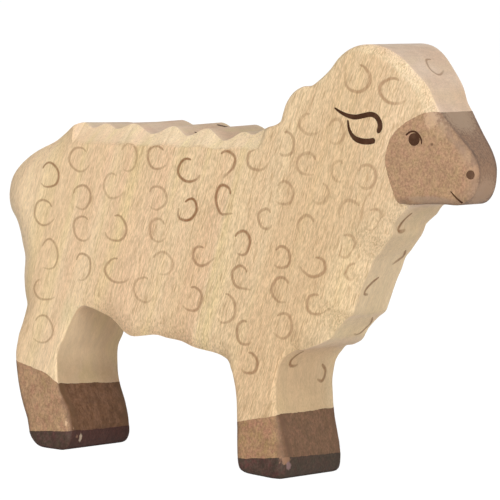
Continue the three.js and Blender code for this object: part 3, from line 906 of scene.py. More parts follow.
@dataclass(frozen=True)
class CurlLine(Finish):
    """Thin brown paint of the wool curls, soft at the rim, with the bare board beside it."""

    name: str
    wood: BareWood
    ink: Colour
    dry_scale: Spot = (1500.0, 1500.0, 700.0)

    def dress(self, desk: NodeDesk) -> None:
        """Places the nodes of the curl line."""
        grain = self.wood.grain.use(desk)
        dry = desk.cloud(desk.here(), self.dry_scale, 3.0, 0.6)
        spot = desk.place("ShaderNodeUVMap", uv_map="UVMap").outputs[0]
        parts = desk.parts(spot)
        off = desk.sum("ABSOLUTE", desk.sum("SUBTRACT", parts["Y"], 0.5))
        ragged = desk.sum("ADD", off, desk.product(desk.sum("SUBTRACT", dry, 0.5), 0.2))
        body = desk.spread(ragged, 0.1, 0.36, 1.0, 0.0)
        tail = desk.spread(parts["X"], 0.6, 1.0, 1.0, 0.5)
        patchy = desk.spread(dry, 0.25, 0.6, 0.7, 1.0)
        amount = desk.product(body, tail, patchy, desk.stored("ink"))
        colour = desk.blend(amount, self.wood.colour(desk, grain), self.ink)
        rough = desk.spread(grain["Tone"], 0.2, 0.8, 0.46, 0.6)
        desk.close(colour, rough, grain["Height"], 0.14)


NARROW_FACE_RINGS = (0.012, 0.05, 0.15, 0.3, 0.5, 0.7, 0.85, 0.95, 0.988)


@dataclass
class SawnBoard:
    """The sheep's wood: one board, sawn to the pattern and sanded along all its edges."""

    pattern: SawingPattern
    finish: BareWood
    thickness: float = 24.0
    wedge_from_head: float = 2.0
    wedge_slope: float = 0.33
    wedge_softness: float = 3.0
    bend_rows: range = range(-6, 10)
    bend_step: float = 0.8
    far_rises: tuple[Span, ...] = ((4.0, -0.45), (17.0, 0.4))
    edge_rings: int = 8
    flat_rim: float = 0.5
    reach: int = 6
    easing_rounds: int = 14
    eased_widths: Span = (2.0, 4.0)
    cut_rise: float = 5.0
    crest_fall: float = 6.0

    def wedge(self, x: np.ndarray) -> np.ndarray:
        """Gives how much thinner each half of the head is at a place, softly starting."""
        past = x - (self.pattern.head_x + self.wedge_from_head)
        return self.wedge_slope * 0.5 * (past + np.sqrt(past * past + self.wedge_softness**2))

    def outward(self, rim: np.ndarray) -> np.ndarray:
        """Gives the way out of the board at each station, in the plane of the flanks."""
        ahead = np.roll(rim, -self.reach, axis=0) - np.roll(rim, self.reach, axis=0)
        out = np.stack([ahead[:, 1], -ahead[:, 0]], axis=1)
        return out / np.linalg.norm(out, axis=1, keepdims=True)

    def ease(self, line: np.ndarray, share: np.ndarray) -> np.ndarray:
        """Smooths a line round the board as far as a share says at each station."""
        for _ in range(self.easing_rounds):
            before, after = np.roll(line, 1, axis=0), np.roll(line, -1, axis=0)
            eased = 0.25 * before + 0.5 * line + 0.25 * after
            line = line + share * (eased - line)
        return line

    def rings(self) -> tuple[np.ndarray, list[float], np.ndarray]:
        """Works out the board's surface ring by ring, from the right flank to the left one.

        Returns:
            Points as ring, station and coordinate in millimetres, each ring's share of crest, and
            where the chamfers are by ring and station.
        """
        stations = self.pattern.stations()
        rim = stations[:, :2]
        slope, chamfer, left_share = stations[:, 4:].T
        outward = self.outward(rim)
        half = self.thickness / 2
        lift = np.interp(rim[:, 0] - self.pattern.hind_leg_x, *zip(*self.far_rises))
        narrowest, widest = self.eased_widths
        layers: list[np.ndarray] = []
        crests: list[float] = []
        cuts: list[np.ndarray] = []

        def layer(spot: np.ndarray, worn: np.ndarray, sign: int, crest: float, cut: float) -> None:
            """Adds one ring of points."""
            depth = sign * (half - self.wedge(spot[:, 0]) - worn)
            layers.append(np.stack([spot[:, 0], depth, spot[:, 1]], axis=1))
            crests.append(crest)
            cuts.append(chamfer * cut)

        shares = [math.sin(math.pi / 2 * ring / self.edge_rings) for ring in range(self.edge_rings + 1)]
        for flank in Flank:
            kept = 1.0 if flank is Flank.RIGHT else left_share
            width, setback = stations[:, 2] * kept, stations[:, 3] * kept
            risen = rim if flank is Flank.RIGHT else rim + outward * (chamfer * lift)[:, None]
            wide = np.clip((width - narrowest) / (widest - narrowest), 0.0, 1.0) * (1 - chamfer)
            inner = self.ease(risen - outward * width[:, None], wide[:, None])
            start = len(layers)
            layer(inner - outward * self.flat_rim, np.zeros_like(width), flank.value, 0.0, 0.0)
            for share in shares:
                spot = inner + (risen - inner) * share
                rounded = (1 - slope - chamfer) * (1 - math.sqrt(max(0.0, 1 - share * share)))
                worn = setback * (rounded + slope * share * share + chamfer * share)
                crest = math.sin(math.pi * min(1.0, share * 0.5 + 0.02))
                layer(spot, worn, flank.value, crest, min(1.0, share * self.cut_rise))
            if flank is Flank.LEFT:
                for rows in (layers, crests, cuts):
                    rows[start:] = rows[start:][::-1]
        turn = len(shares) + 1
        between = [layers[turn - 1] * (1 - share) + layers[turn] * share for share in NARROW_FACE_RINGS]
        fading = [max(0.0, 1 - self.crest_fall * min(share, 1 - share)) for share in NARROW_FACE_RINGS]
        layers[turn:turn] = between
        crests[turn:turn] = fading
        cuts[turn:turn] = [np.zeros_like(chamfer)] * len(between)
        return np.array(layers), crests, np.array(cuts, np.float32)

    def build(self) -> bpy.types.Object:
        """Models the board from a strip wrapped round the pattern.

        Returns:
            The wood.
        """
        layers, crests, cuts = self.rings()
        ring_count, station_count = layers.shape[:2]
        wood = lay_grid(station_count, ring_count - 1, calc_uvs=False)
        wood.name = "sheep_wood"
        flat = np.empty(len(wood.data.vertices) * 3)
        wood.data.vertices.foreach_get("co", flat)
        flat = flat.reshape(-1, 3)
        column = np.rint((flat[:, 0] + 0.5) * station_count).astype(int) % station_count
        row = np.rint((flat[:, 1] + 0.5) * (ring_count - 1)).astype(int)
        wood.data.vertices.foreach_set("co", (layers[row, column] * MM).ravel())
        store(wood, "crest", np.array(crests)[row])
        store(wood, "fresh_cut", cuts[row, column])
        self.close_flanks(wood)
        self.mark_faces(wood)
        wood.data.materials.append(self.finish.material())
        return hand_over(wood, "bare_wood", "sheep_body")

    def close_flanks(self, wood: bpy.types.Object) -> None:
        """Joins the strip's ends, closes both flanks and bends them at the head's wedge."""
        with at_the_bench(wood) as mesh:
            bpy.ops.mesh.select_all(action="SELECT")
            bpy.ops.mesh.remove_doubles(threshold=SAME_POINT)
            for flank in Flank:
                pick(
                    mesh(),
                    MeshPart.EDGE,
                    lambda edge: edge.is_boundary and edge.verts[0].co.y * flank.value > 0,
                )
                bpy.ops.mesh.edge_face_add()
            start = (self.pattern.head_x + self.wedge_from_head) * MM
            for row in self.bend_rows:
                pick(mesh(), MeshPart.FACE, lambda face: len(face.verts) > MANY_CORNERS)
                seam = start + row * self.bend_step * MM
                bpy.ops.mesh.bisect(plane_co=(seam, 0, 0), plane_no=(1, 0, 0))
            work = mesh()
            for vert in work.verts:
                if all(len(face.verts) > MANY_CORNERS for face in vert.link_faces):
                    depth = self.thickness / 2 - float(self.wedge(np.array(vert.co.x / MM)))
                    vert.co.y = math.copysign(depth * MM, vert.co.y)
            pick(work, MeshPart.FACE, lambda face: len(face.verts) > 4)
            bpy.ops.mesh.quads_convert_to_tris(quad_method="BEAUTY", ngon_method="BEAUTY")
            bpy.ops.mesh.select_all(action="SELECT")
            bpy.ops.mesh.normals_make_consistent(inside=False)

    def mark_faces(self, wood: bpy.types.Object) -> None:
        """Stores how far each point looks away from the flanks, and how far along the grain."""
        normals = np.empty(len(wood.data.vertices) * 3)
        wood.data.vertex_normals.foreach_get("vector", normals)
        normals = normals.reshape(-1, 3)
        lean = math.radians(self.finish.grain.lean_degrees)
        along_grain = np.abs(normals[:, 0] * math.sin(lean) + normals[:, 2] * math.cos(lean))
        store(wood, "across", 1 - np.abs(normals[:, 1]))
        store(wood, "end_grain", along_grain)


@dataclass(frozen=True)
class Cut:
    """A plane that ends a coat of paint, in millimetres, with the paint behind it."""

    place: Spot
    out: Spot

    def beyond(self, spot: Vector) -> float:
        """Gives how far a place lies past the plane."""
        return (spot - Vector(self.place)).dot(Vector(self.out).normalized())


def cut_over(x: float, z: float, rise: float, far_drop: float, side_y: float = -12.0) -> Cut:
    """Makes a cut whose paint lies below it.

    Args:
        x: A place on the right flank that the cut runs through.
        z: Its height.
        rise: How fast the cut rises to the front.
        far_drop: How fast it falls to the far side.
        side_y: Where the right flank is.

    Returns:
        The cut.
    """
    return Cut((x, side_y, z), (-rise, far_drop, 1.0))


def cuts_along(points: list[tuple[float, float]]) -> list[Cut]:
    """Turns a line that bulges to the left into cuts, with the paint to its right.

    Args:
        points: Places along the line from below, as x and z.

    Returns:
        One cut for each stretch of the smoothed line.
    """
    fine = smooth_line(points, steps=4)
    cuts = []
    for first, second in zip(fine, fine[1:]):
        x, z = (float(part) for part in (first + second) / 2)
        along, up = (float(part) for part in second - first)
        cuts.append(Cut((x, 0.0, z), (-up, 0.0, along)))
    return cuts


@dataclass(frozen=True)
class Wander:
    """One part of a hand's unsteadiness: its pace to a millimetre, its start and its share."""

    pace: float
    start: Spot
    share: float

    def at(self, spot: Vector) -> float:
        """Gives the part's shift at a place in millimetres."""
        return self.share * noise.noise(spot * self.pace + Vector(self.start))


UNSTEADY_HAND = (Wander(0.35, (3.1, 7.7, 1.3), 0.7), Wander(1.3, (9.2, 0.4, 5.5), 0.3))


@dataclass
class PaintCoat:
    """A coat of paint: the wood's own surface inside some cuts, lifted off it by its thickness."""

    name: str
    node: str
    slot: str
    cuts: list[Cut]
    finish: Glaze
    thickness: float
    wobble: float
    longest_rim: float = 0.8
    rim_cuts: int = 20

    def build(self, wood: bpy.types.Object) -> bpy.types.Object:
        """Lays the coat on the wood.

        Args:
            wood: The finished wood.

        Returns:
            The coat.
        """
        coat = bpy.data.objects.new(self.name, wood.data.copy())
        bpy.context.scene.collection.objects.link(coat)
        coat.data.materials.clear()
        with at_the_bench(coat) as mesh:
            for cut in self.cuts:
                place, out = Vector(cut.place) * MM, Vector(cut.out).normalized()
                bpy.ops.mesh.select_all(action="SELECT")
                bpy.ops.mesh.bisect(plane_co=place, plane_no=out, clear_outer=True)
            longest = self.longest_rim * MM
            pick(mesh(), MeshPart.EDGE, lambda edge: edge.is_boundary and edge.calc_length() > longest)
            bpy.ops.mesh.subdivide(number_cuts=self.rim_cuts)
            self.roughen_rim(mesh())
        apply_modifier(coat, "SOLIDIFY", thickness=self.thickness * MM, offset=1.0)
        coat.data.materials.append(self.finish.material())
        return hand_over(coat, self.slot, self.node)

    def roughen_rim(self, mesh: bmesh.types.BMesh) -> None:
        """Lets the coat's rim wander a little along the wood, as a brush does."""
        mesh.normal_update()
        for vert in mesh.verts:
            if not vert.is_boundary:
                continue
            spot = vert.co / MM
            shift = self.wobble * sum(part.at(spot) for part in UNSTEADY_HAND) * MM
            nearest = min(self.cuts, key=lambda cut: abs(cut.beyond(spot)))
            way = Vector(nearest.out).normalized()
            vert.co += (way - vert.normal * way.dot(vert.normal)) * shift


@dataclass(frozen=True)
class Stroke:
    """One stroke of the brush: its line in millimetres, its widest width and its load of paint."""

    points: tuple[Spot, ...]
    facing: Spot
    width: float
    form: StrokeForm
    ink: float = 1.0

    def line(self, count: int) -> list[Vector]:
        """Samples the stroke's line, closer together at its ends.

        Args:
            count: How many stretches to make.

        Returns:
            The points along the line, in millimetres.
        """
        path = np.array(smooth_line(self.points, steps=8))
        steps = np.concatenate([[0.0], np.cumsum(np.linalg.norm(np.diff(path, axis=0), axis=1))])
        wanted = self.shares(count) * steps[-1]
        return [Vector([float(np.interp(way, steps, axis)) for axis in path.T]) for way in wanted]

    def shares(self, count: int) -> np.ndarray:
        """Gives the shares of the way at which the stroke is sampled."""
        even = np.linspace(0.0, 1.0, count + 1)
        close = (1 - np.cos(np.pi * even)) / 2
        return close if self.form is StrokeForm.DAB else 0.5 * even + 0.5 * close

    def breadth(self, share: float, length: float) -> float:
        """Gives the stroke's width at a share of its way, round at both ends.

        Args:
            share: The share of the way.
            length: The length of the whole way in millimetres.

        Returns:
            The width in millimetres.
        """
        if self.form is StrokeForm.DAB:
            return self.width * math.sqrt(max(0.0, 1 - (2 * share - 1) ** 2))
        ways, widths = zip(*self.form.value)
        full = self.width * float(np.interp(share, ways, widths))
        to_end = min(share, 1 - share) * length
        short = max(0.0, 1 - to_end / (full / 2))
        return full * math.sqrt(1 - short * short)


FLANK_WAY = (0, -1, 0)
CURL_STEPS = 12
CURL_SWAYS = (0.035, 0.02)
CURL_OPENING = 0.1
CURL_CLOSING = 0.12
CURL_WIDTH = 0.76
CURL_WIDTH_AHEAD = 0.0035
CURL_WIDTH_INKED = 0.1


@dataclass(frozen=True)
class Curl:
    """A curl of wool on a flank, in millimetres and degrees. A rising angle opens to the front."""

    x: float
    z: float
    width: float
    height: float
    start: float
    end: float
    ink: float
    tail: float = 0.0
    lean: float = 0.0

    def stroke(self, flank_y: float) -> Stroke:
        """Draws the curl on the right flank.

        Args:
            flank_y: The flank's place through the thickness, in millimetres.

        Returns:
            The brush stroke.
        """
        slow, fast = CURL_SWAYS
        points = []
        for step in range(CURL_STEPS + 1):
            share = step / CURL_STEPS
            angle = math.radians(self.start + (self.end - self.start) * share)
            unsteady = slow * math.sin(3 * angle + self.x) + fast * math.sin(5 * angle + self.z)
            grow = 1 + CURL_OPENING * share**4 - CURL_CLOSING * (1 - share) ** 6 + unsteady
            high = grow * self.height / 2 * math.sin(angle)
            along = grow * self.width / 2 * math.cos(angle) + self.lean * high
            points.append((self.x + along, flank_y, self.z + high))
        if self.tail:
            last, before = points[-1], points[-2]
            ahead, up = last[0] - before[0], last[2] - before[2]
            far = self.tail / math.hypot(ahead, up)
            points.append((last[0] + ahead * far, flank_y, last[2] + up * far))
        width = CURL_WIDTH + CURL_WIDTH_AHEAD * self.x + CURL_WIDTH_INKED * self.ink
        return Stroke(tuple(points), FLANK_WAY, width, StrokeForm.CURL, self.ink)


@dataclass
class BrushWork:
    """A set of brush strokes laid on the figure as one piece."""

    name: str
    strokes: list[Stroke]
    finish: DarkLine | CurlLine
    nodes: tuple[str, ...] = ()
    stretches: int = 24
    lanes: int = 4
    lift: float = 0.03
    film_lifts: float = 1.6
    margin: float = 1.0
    least_half: float = 0.02

    def ribbon(self, stroke: Stroke, pattern: bpy.types.Object) -> bpy.types.Object:
        """Bends a copy of the straight ribbon along a stroke.

        Args:
            stroke: The stroke.
            pattern: The straight ribbon.

        Returns:
            The bent ribbon.
        """
        ribbon = pattern.copy()
        ribbon.data = pattern.data.copy()
        bpy.context.collection.objects.link(ribbon)
        path = stroke.line(self.stretches)
        shares = stroke.shares(self.stretches)
        length = sum((after - before).length for before, after in zip(path, path[1:]))
        facing = Vector(stroke.facing).normalized()
        for vert in ribbon.data.vertices:
            step = round((vert.co.x + 0.5) * self.stretches)
            ahead = path[min(step + 1, self.stretches)] - path[max(step - 1, 0)]
            across = facing.cross(ahead).normalized()
            half = stroke.breadth(float(shares[step]), length) * self.margin / 2
            vert.co = (path[step] + across * max(half, self.least_half) * vert.co.y * 2) * MM
        store(ribbon, "ink", np.full(len(ribbon.data.vertices), stroke.ink))
        return ribbon

    def build(self, ground: bpy.types.Object, flank: Flank = Flank.RIGHT) -> bpy.types.Object:
        """Paints the strokes.

        Args:
            ground: What they are painted on.
            flank: The side of the sheep; the left one mirrors the right one.

        Returns:
            The piece with all the strokes.
        """
        pattern = lay_grid(self.stretches, self.lanes)
        ribbons = [self.ribbon(stroke, pattern) for stroke in self.strokes]
        bpy.data.objects.remove(pattern)
        bpy.ops.object.select_all(action="DESELECT")
        for ribbon in ribbons:
            ribbon.select_set(True)
        bpy.context.view_layer.objects.active = ribbons[0]
        if len(ribbons) > 1:
            bpy.ops.object.join()
        piece = bpy.context.active_object
        piece.name = self.name
        if flank is Flank.LEFT:
            piece.data.transform(Matrix.Scale(-1, 4, (0, 1, 0)))
            piece.data.flip_normals()
        apply_modifier(
            piece,
            "SHRINKWRAP",
            target=ground,
            wrap_method="NEAREST_SURFACEPOINT",
            wrap_mode="ABOVE_SURFACE",
            offset=self.lift * MM,
        )
        self.feel_ground(piece, ground)
        apply_modifier(piece, "SOLIDIFY", thickness=self.lift * self.film_lifts * MM, offset=-1.0)
        piece.data.materials.append(self.finish.material())
        return hand_over(piece, "line_paint", *self.nodes)

    def feel_ground(self, piece: bpy.types.Object, ground: bpy.types.Object) -> None:
        """Copies the ground's stored values to the strokes' points."""
        names = ("crest", "across", "end_grain", "fresh_cut")
        felt = np.zeros((len(names), len(piece.data.vertices)), np.float32)
        for index, vert in enumerate(piece.data.vertices):
            found, _, _, face = ground.closest_point_on_mesh(vert.co)
            if not found:
                continue
            corners = ground.data.polygons[face].vertices
            for row, name in enumerate(names):
                stored = ground.data.attributes[name].data
                felt[row, index] = sum(stored[corner].value for corner in corners) / len(corners)
        for row, name in enumerate(names):
            store(piece, name, felt[row])


CURLS = [
    Curl(33.7, 89.5, 6.2, 6.2, 85, -200, 0.55),
    Curl(42.6, 87.3, 6.5, 5.5, 65, 320, 0.55),
    Curl(22.1, 78.7, 5.6, 4.7, 95, 335, 0.38),
    Curl(28.7, 77.5, 4.2, 5.3, 155, -135, 0.4),
    Curl(-18.1, 68.3, 5.4, 5.1, 45, 325, 0.6),
    Curl(0.5, 68.9, 4.5, 4.4, 140, -62, 0.75, 2.6),
    Curl(8.7, 69.9, 5.5, 4.8, 105, 345, 0.5),
    Curl(15.9, 73.9, 4.4, 5.3, 105, -130, 0.5),
    Curl(21.9, 69.9, 5.6, 4.7, 30, 305, 0.42),
    Curl(30.0, 69.0, 3.7, 4.5, 50, 310, 0.3),
    Curl(37.0, 68.4, 4.8, 5.1, 160, -140, 0.42),
    Curl(-47.7, 62.0, 5.3, 5.5, 150, -140, 0.8),
    Curl(-39.5, 66.2, 5.5, 5.4, 45, 340, 0.5),
    Curl(-29.7, 61.0, 5.5, 5.6, 75, 340, 0.38),
    Curl(-26.0, 67.8, 4.7, 6.1, 155, -120, 0.45),
    Curl(-9.5, 66.1, 5.6, 5.2, 75, 345, 0.9),
    Curl(0.3, 60.5, 4.2, 6.3, 20, 285, 0.85, 2.0),
    Curl(16.0, 63.1, 5.1, 5.0, 140, -140, 0.42),
    Curl(25.3, 64.0, 4.6, 4.7, 70, -140, 0.35),
    Curl(33.7, 60.5, 6.1, 4.6, 40, 220, 0.35),
    Curl(-48.6, 53.4, 5.6, 5.7, 30, 340, 0.6),
    Curl(-38.4, 57.8, 5.0, 5.3, 170, -125, 0.55),
    Curl(-17.7, 59.3, 5.2, 5.1, 155, -135, 0.45),
    Curl(-16.9, 52.1, 4.7, 5.1, 35, 330, 0.42),
    Curl(-9.2, 57.3, 4.6, 5.0, 135, -185, 0.95, lean=0.3),
    Curl(11.6, 57.1, 3.8, 4.4, 40, 330, 0.5),
    Curl(22.5, 56.4, 4.5, 4.4, 30, 225, 0.45),
    Curl(32.7, 52.8, 4.4, 5.3, 110, -135, 0.42),
    Curl(39.4, 58.8, 4.6, 5.4, 120, -150, 0.38),
    Curl(-46.9, 44.1, 5.2, 6.7, 150, -120, 0.5),
    Curl(-37.7, 50.8, 5.1, 5.5, 50, 335, 0.5),
    Curl(-28.5, 51.6, 5.7, 5.9, 105, -160, 0.6),
    Curl(-15.6, 44.8, 6.1, 4.9, 155, -105, 0.4),
    Curl(-4.9, 47.4, 4.8, 4.3, 75, 335, 0.6, 1.6),
    Curl(5.6, 51.3, 4.4, 5.2, 155, -120, 0.8),
    Curl(16.2, 49.0, 4.7, 4.7, 140, -135, 0.6),
    Curl(24.7, 47.8, 6.3, 4.5, 80, -170, 0.6),
    Curl(35.3, 46.4, 3.7, 4.0, 65, 305, 0.42),
    Curl(-47.5, 36.3, 6.2, 5.3, 125, 325, 0.5),
    Curl(-37.3, 42.2, 4.4, 5.9, 155, -110, 0.55),
    Curl(-27.6, 42.2, 6.7, 5.6, 90, 335, 0.55),
    Curl(-20.1, 38.6, 5.5, 5.6, 65, 335, 0.4),
    Curl(-7.1, 37.8, 5.6, 5.4, 100, -140, 0.6),
    Curl(2.2, 36.5, 4.9, 6.6, 100, -140, 0.5),
    Curl(5.6, 43.8, 4.2, 4.8, 25, 285, 0.6, 2.4),
    Curl(16.6, 41.9, 4.9, 5.4, 35, 300, 0.55),
    Curl(26.5, 39.3, 6.5, 5.1, 90, 325, 0.5),
    Curl(7.7, 31.6, 4.7, 5.3, 80, 320, 0.6),
    Curl(17.3, 34.1, 5.2, 5.5, 130, -145, 0.5),
    Curl(-47.7, 27.0, 5.8, 6.2, 145, -140, 0.5),
    Curl(9.1, 25.0, 4.4, 4.7, 100, -145, 0.65),
]

FRONT_STROKES = [
    Stroke(
        ((43.1, 2.5, 93.9), (43.3, 0.3, 93.8), (44.4, -0.8, 92.8), (45.4, -1.0, 91.8), (46.4, 0.5, 90.7),
         (45.6, 4.1, 91.6)),
        (0.7, 0, 0.7), 0.7, StrokeForm.CURL, 0.6,
    ),
    Stroke(
        ((44.0, -3.3, 60.7), (43.2, -4.1, 59.7), (41.9, -4.4, 57.9), (41.6, -4.8, 56.8), (41.5, -3.7, 56.4),
         (41.6, -1.8, 56.7)),
        (0.8, -0.5, -0.3), 1.2, StrokeForm.CURL, 0.9,
    ),
    Stroke(
        ((38.2, 3.6, 51.9), (36.9, 5.0, 50.3), (36.3, 3.6, 49.4), (36.0, 1.9, 48.5)),
        (0.9, 0, -0.4), 0.95, StrokeForm.CURL, 0.8,
    ),
    Stroke(
        ((34.9, -1.4, 45.9), (34.4, -3.4, 44.7), (33.9, -5.0, 43.0), (33.6, -4.9, 42.2), (33.5, -3.2, 41.9)),
        (0.9, -0.4, -0.2), 0.95, StrokeForm.CURL, 0.9,
    ),
    Stroke(
        ((30.5, 3.8, 36.3), (28.9, 5.7, 34.7), (27.5, 4.9, 32.9), (27.1, 3.3, 32.1), (27.2, 1.6, 32.4)),
        (0.7, 0, -0.7), 0.8, StrokeForm.CURL, 0.75,
    ),
    Stroke(
        ((19.5, -5.9, 28.2), (18.4, -7.1, 27.3), (17.4, -7.8, 26.0), (16.7, -7.1, 24.9), (16.6, -5.3, 24.6),
         (16.7, -4.0, 24.9)),
        (0.9, 0, -0.3), 1.0, StrokeForm.CURL, 0.8,
    ),
    Stroke(
        ((16.6, 5.9, 24.3), (16.3, 7.8, 22.8), (16.1, 7.8, 21.2), (16.0, 6.9, 20.4), (16.0, 5.0, 20.9)),
        (1, 0, 0), 1.0, StrokeForm.CURL, 0.8,
    ),
]

UPPER_EAR = Stroke(
    ((28.1, -12, 82.6), (29.6, -12, 81.8), (31.7, -12, 81.1), (33.7, -12, 80.95), (35.6, -12, 81.4),
     (37.4, -12, 81.8), (38.6, -12, 81.5), (39.5, -12, 80.5), (39.8, -12, 79.2), (39.3, -12, 77.8)),
    FLANK_WAY, 1.2, StrokeForm.UPPER_EAR,
)
LOWER_EAR = Stroke(
    ((31.7, -12, 80.2), (32.2, -12, 78.1), (33.5, -12, 76.5), (35.2, -12, 75.9), (37.2, -12, 75.9),
     (38.8, -12, 76.3)),
    FLANK_WAY, 1.3, StrokeForm.LOWER_EAR,
)
EYE_LASH = Stroke(
    ((45.3, -9.73, 77.8), (45.9, -9.54, 78.4), (46.5, -9.35, 78.7), (47.2, -9.12, 78.7),
     (47.8, -8.93, 78.3), (48.3, -8.77, 77.7), (48.6, -8.67, 77.0), (48.7, -8.64, 76.1)),
    (0.3, -1, 0), 0.43, StrokeForm.LASH,
)
EYE_IRIS = Stroke(
    ((47.2, -9.2, 75.65), (47.1, -9.2, 77.0), (47.0, -9.2, 78.4)), (0.3, -1, 0), 2.5, StrokeForm.DAB
)
NOSTRIL = Stroke(
    ((59.3, -5.1, 69.2), (59.4, -5.1, 70.2), (59.4, -5.1, 71.2)), (0.3, -1, 0), 2.1, StrokeForm.DAB
)
MOUTH = Stroke(
    ((55.3, -6.5, 66.4), (56.3, -6.2, 65.3), (57.2, -5.8, 64.3), (57.7, -5.0, 63.6)),
    (0.3, -1, 0), 0.5, StrokeForm.THIN_TO_THICK,
)

# Two short dark marks on the back's top, drawn with the dark line.
BACK_DARK_MARKS = [
    Stroke(((-13.2, -4.4, 75), (-12.3, -2.9, 75), (-11.4, -1.4, 75)), (0, 0, 1), 0.5, StrokeForm.LASH),
    Stroke(((-15.6, 7.2, 75.4), (-14.2, 9.6, 75.4), (-13.2, 11.4, 75.2)), (0, 0, 1), 0.7, StrokeForm.LASH),
]


@dataclass(frozen=True)
class Softbox:
    """A square soft light: the way to it, its watts, and its distance and side in metres."""

    name: str
    way: Spot
    power: float
    distance: float = 1.7
    side: float = 0.9

    def hang(self, aim: Vector) -> None:
        """Hangs the light so that it looks at a place."""
        data = bpy.data.lights.new(self.name, "AREA")
        data.shape = "SQUARE"
        data.size = self.side
        data.energy = self.power
        lamp = bpy.data.objects.new(self.name, data)
        bpy.context.scene.collection.objects.link(lamp)
        outward = Vector(self.way).normalized()
        turned = (-outward).to_track_quat("-Z", "Y").to_matrix().to_4x4()
        lamp.matrix_world = Matrix.Translation(aim + outward * self.distance) @ turned


@dataclass
class Studio:
    """Camera, lights and floor, in degrees and metres, with the lens in millimetres."""

    azimuth: float = 34.0
    elevation: float = 4.935
    roll: float = 2.735
    distance: float = 1.1
    aim: Spot = (-0.000208, 0.0, 0.04855)
    lens: float = 355.77
    sensor: float = 36.0
    sight: Span = (0.05, 50.0)
    room_light: float = 0.27
    room_seen: float = 1.05
    floor_side: float = 8.0
    floor_squares: int = 8
    floor_drop: float = 0.00002
    floor_colour: Colour = (0.85, 0.84, 0.82, 1)
    floor_glow: float = 0.94
    floor_seen: float = 1.08
    softboxes: tuple[Softbox, ...] = (
        Softbox("side_softbox", (0.25, -0.78, 0.57), 17.8),
        Softbox("front_softbox", (0.9, -0.4, 0.15), 11.5),
        Softbox("far_softbox", (-0.25, 0.95, 0.1), 6.0),
    )

    def camera(self) -> None:
        """Sets the camera at the photograph's angle."""
        turn, rise, tilt = (math.radians(angle) for angle in (self.azimuth, self.elevation, self.roll))
        back = Vector((math.sin(turn) * math.cos(rise), -math.cos(turn) * math.cos(rise), math.sin(rise)))
        level = Vector((math.cos(turn), math.sin(turn), 0))
        upright = back.cross(level)
        right = level * math.cos(tilt) + upright * math.sin(tilt)
        up = upright * math.cos(tilt) - level * math.sin(tilt)
        data = bpy.data.cameras.new("photo_camera")
        data.lens = self.lens
        data.sensor_width = self.sensor
        data.sensor_fit = "HORIZONTAL"
        data.clip_start, data.clip_end = self.sight
        camera = bpy.data.objects.new("photo_camera", data)
        bpy.context.scene.collection.objects.link(camera)
        place = Matrix((right, up, back)).transposed().to_4x4()
        place.translation = back * self.distance + Vector(self.aim)
        camera.matrix_world = place
        bpy.context.scene.camera = camera

    def room(self) -> None:
        """Sets the white surroundings."""
        world = bpy.data.worlds.new("white_room")
        bpy.context.scene.world = world
        world.use_nodes = True
        desk = NodeDesk(world.node_tree)
        seen = desk.place("ShaderNodeLightPath").outputs["Is Camera Ray"]
        strength = desk.spread(seen, 0.0, 1.0, self.room_light, self.room_seen)
        sky = desk.place("ShaderNodeBackground", {"Color": (1, 1, 1, 1), "Strength": strength})
        desk.place("ShaderNodeOutputWorld", {"Surface": sky.outputs[0]})

    def floor(self) -> None:
        """Lays the pale floor."""
        squares = self.floor_squares
        floor = lay_grid(squares, squares, self.floor_side, location=(0, 0, -self.floor_drop))
        floor.name = "pale_floor"
        material = bpy.data.materials.new("pale_floor")
        material.use_nodes = True
        desk = NodeDesk(material.node_tree)
        seen = desk.place("ShaderNodeLightPath").outputs["Is Camera Ray"]
        glow = desk.place("ShaderNodeEmission", {"Color": (1, 1, 1, 1), "Strength": self.floor_seen})
        matt = desk.place("ShaderNodeBsdfDiffuse", {"Color": self.floor_colour})
        share = desk.spread(seen, 0.0, 1.0, 0.0, self.floor_glow)
        mixed = desk.place("ShaderNodeMixShader", {0: share, 1: matt.outputs[0], 2: glow.outputs[0]})
        desk.place("ShaderNodeOutputMaterial", {"Surface": mixed.outputs[0]})
        floor.data.materials.append(material)

    def build(self) -> None:
        """Sets up the whole studio."""
        self.camera()
        self.room()
        self.floor()
        for softbox in self.softboxes:
            softbox.hang(Vector(self.aim))
        view = bpy.context.scene.view_settings
        view.view_transform = "Standard"
        view.look = "None"


GRAIN = BoardGrain()
FACE_GLAZE = Glaze(
    name="face_glaze",
    grain=GRAIN,
    thin=rgb(173, 139, 105),
    thick=rgb(158, 124, 93),
    rusty=rgb(167, 127, 100),
    olive=rgb(164, 135, 97),
    narrow_face_shade=rgb(144, 116, 95),
    worn=rgb(144, 117, 96),
    rim_dark=rgb(116, 92, 78),
    edge_shade_share=0.75,
    coat_spots=(
        CoatSpot((52.4, -7.4, 79.2), 1.5, rgb(196, 166, 128), 0.25, 1.5),
        CoatSpot((50.4, -7.9, 81.7), 1.7, rgb(210, 176, 142), 0.5, 1.4),
        CoatSpot((57.8, -5.2, 74.4), 1.9, rgb(190, 156, 126), 0.15, 1.2),
        CoatSpot((60.2, -4.5, 71.0), 1.5, rgb(188, 148, 114), 0.45, 1.2),
        CoatSpot((60.9, -1.0, 68.0), 6.0, rgb(176, 138, 108), 0.3),
        CoatSpot((60.6, 0.0, 65.6), 4.8, rgb(180, 148, 122), 0.8),
        CoatSpot((51.0, 0.0, 82.5), 6.6, rgb(174, 148, 124), 0.9),
        # Painted shade on the rounded lower edge of the jaw, on both flanks.
        CoatSpot((51.5, -8.0, 64.1), 6.0, rgb(156, 133, 113), 0.5, 0.17),
        CoatSpot((51.5, 8.0, 64.1), 6.0, rgb(156, 133, 113), 0.5, 0.17),
        CoatSpot((50.8, -7.7, 76.2), 0.35, rgb(116, 86, 62)),
    ),
)
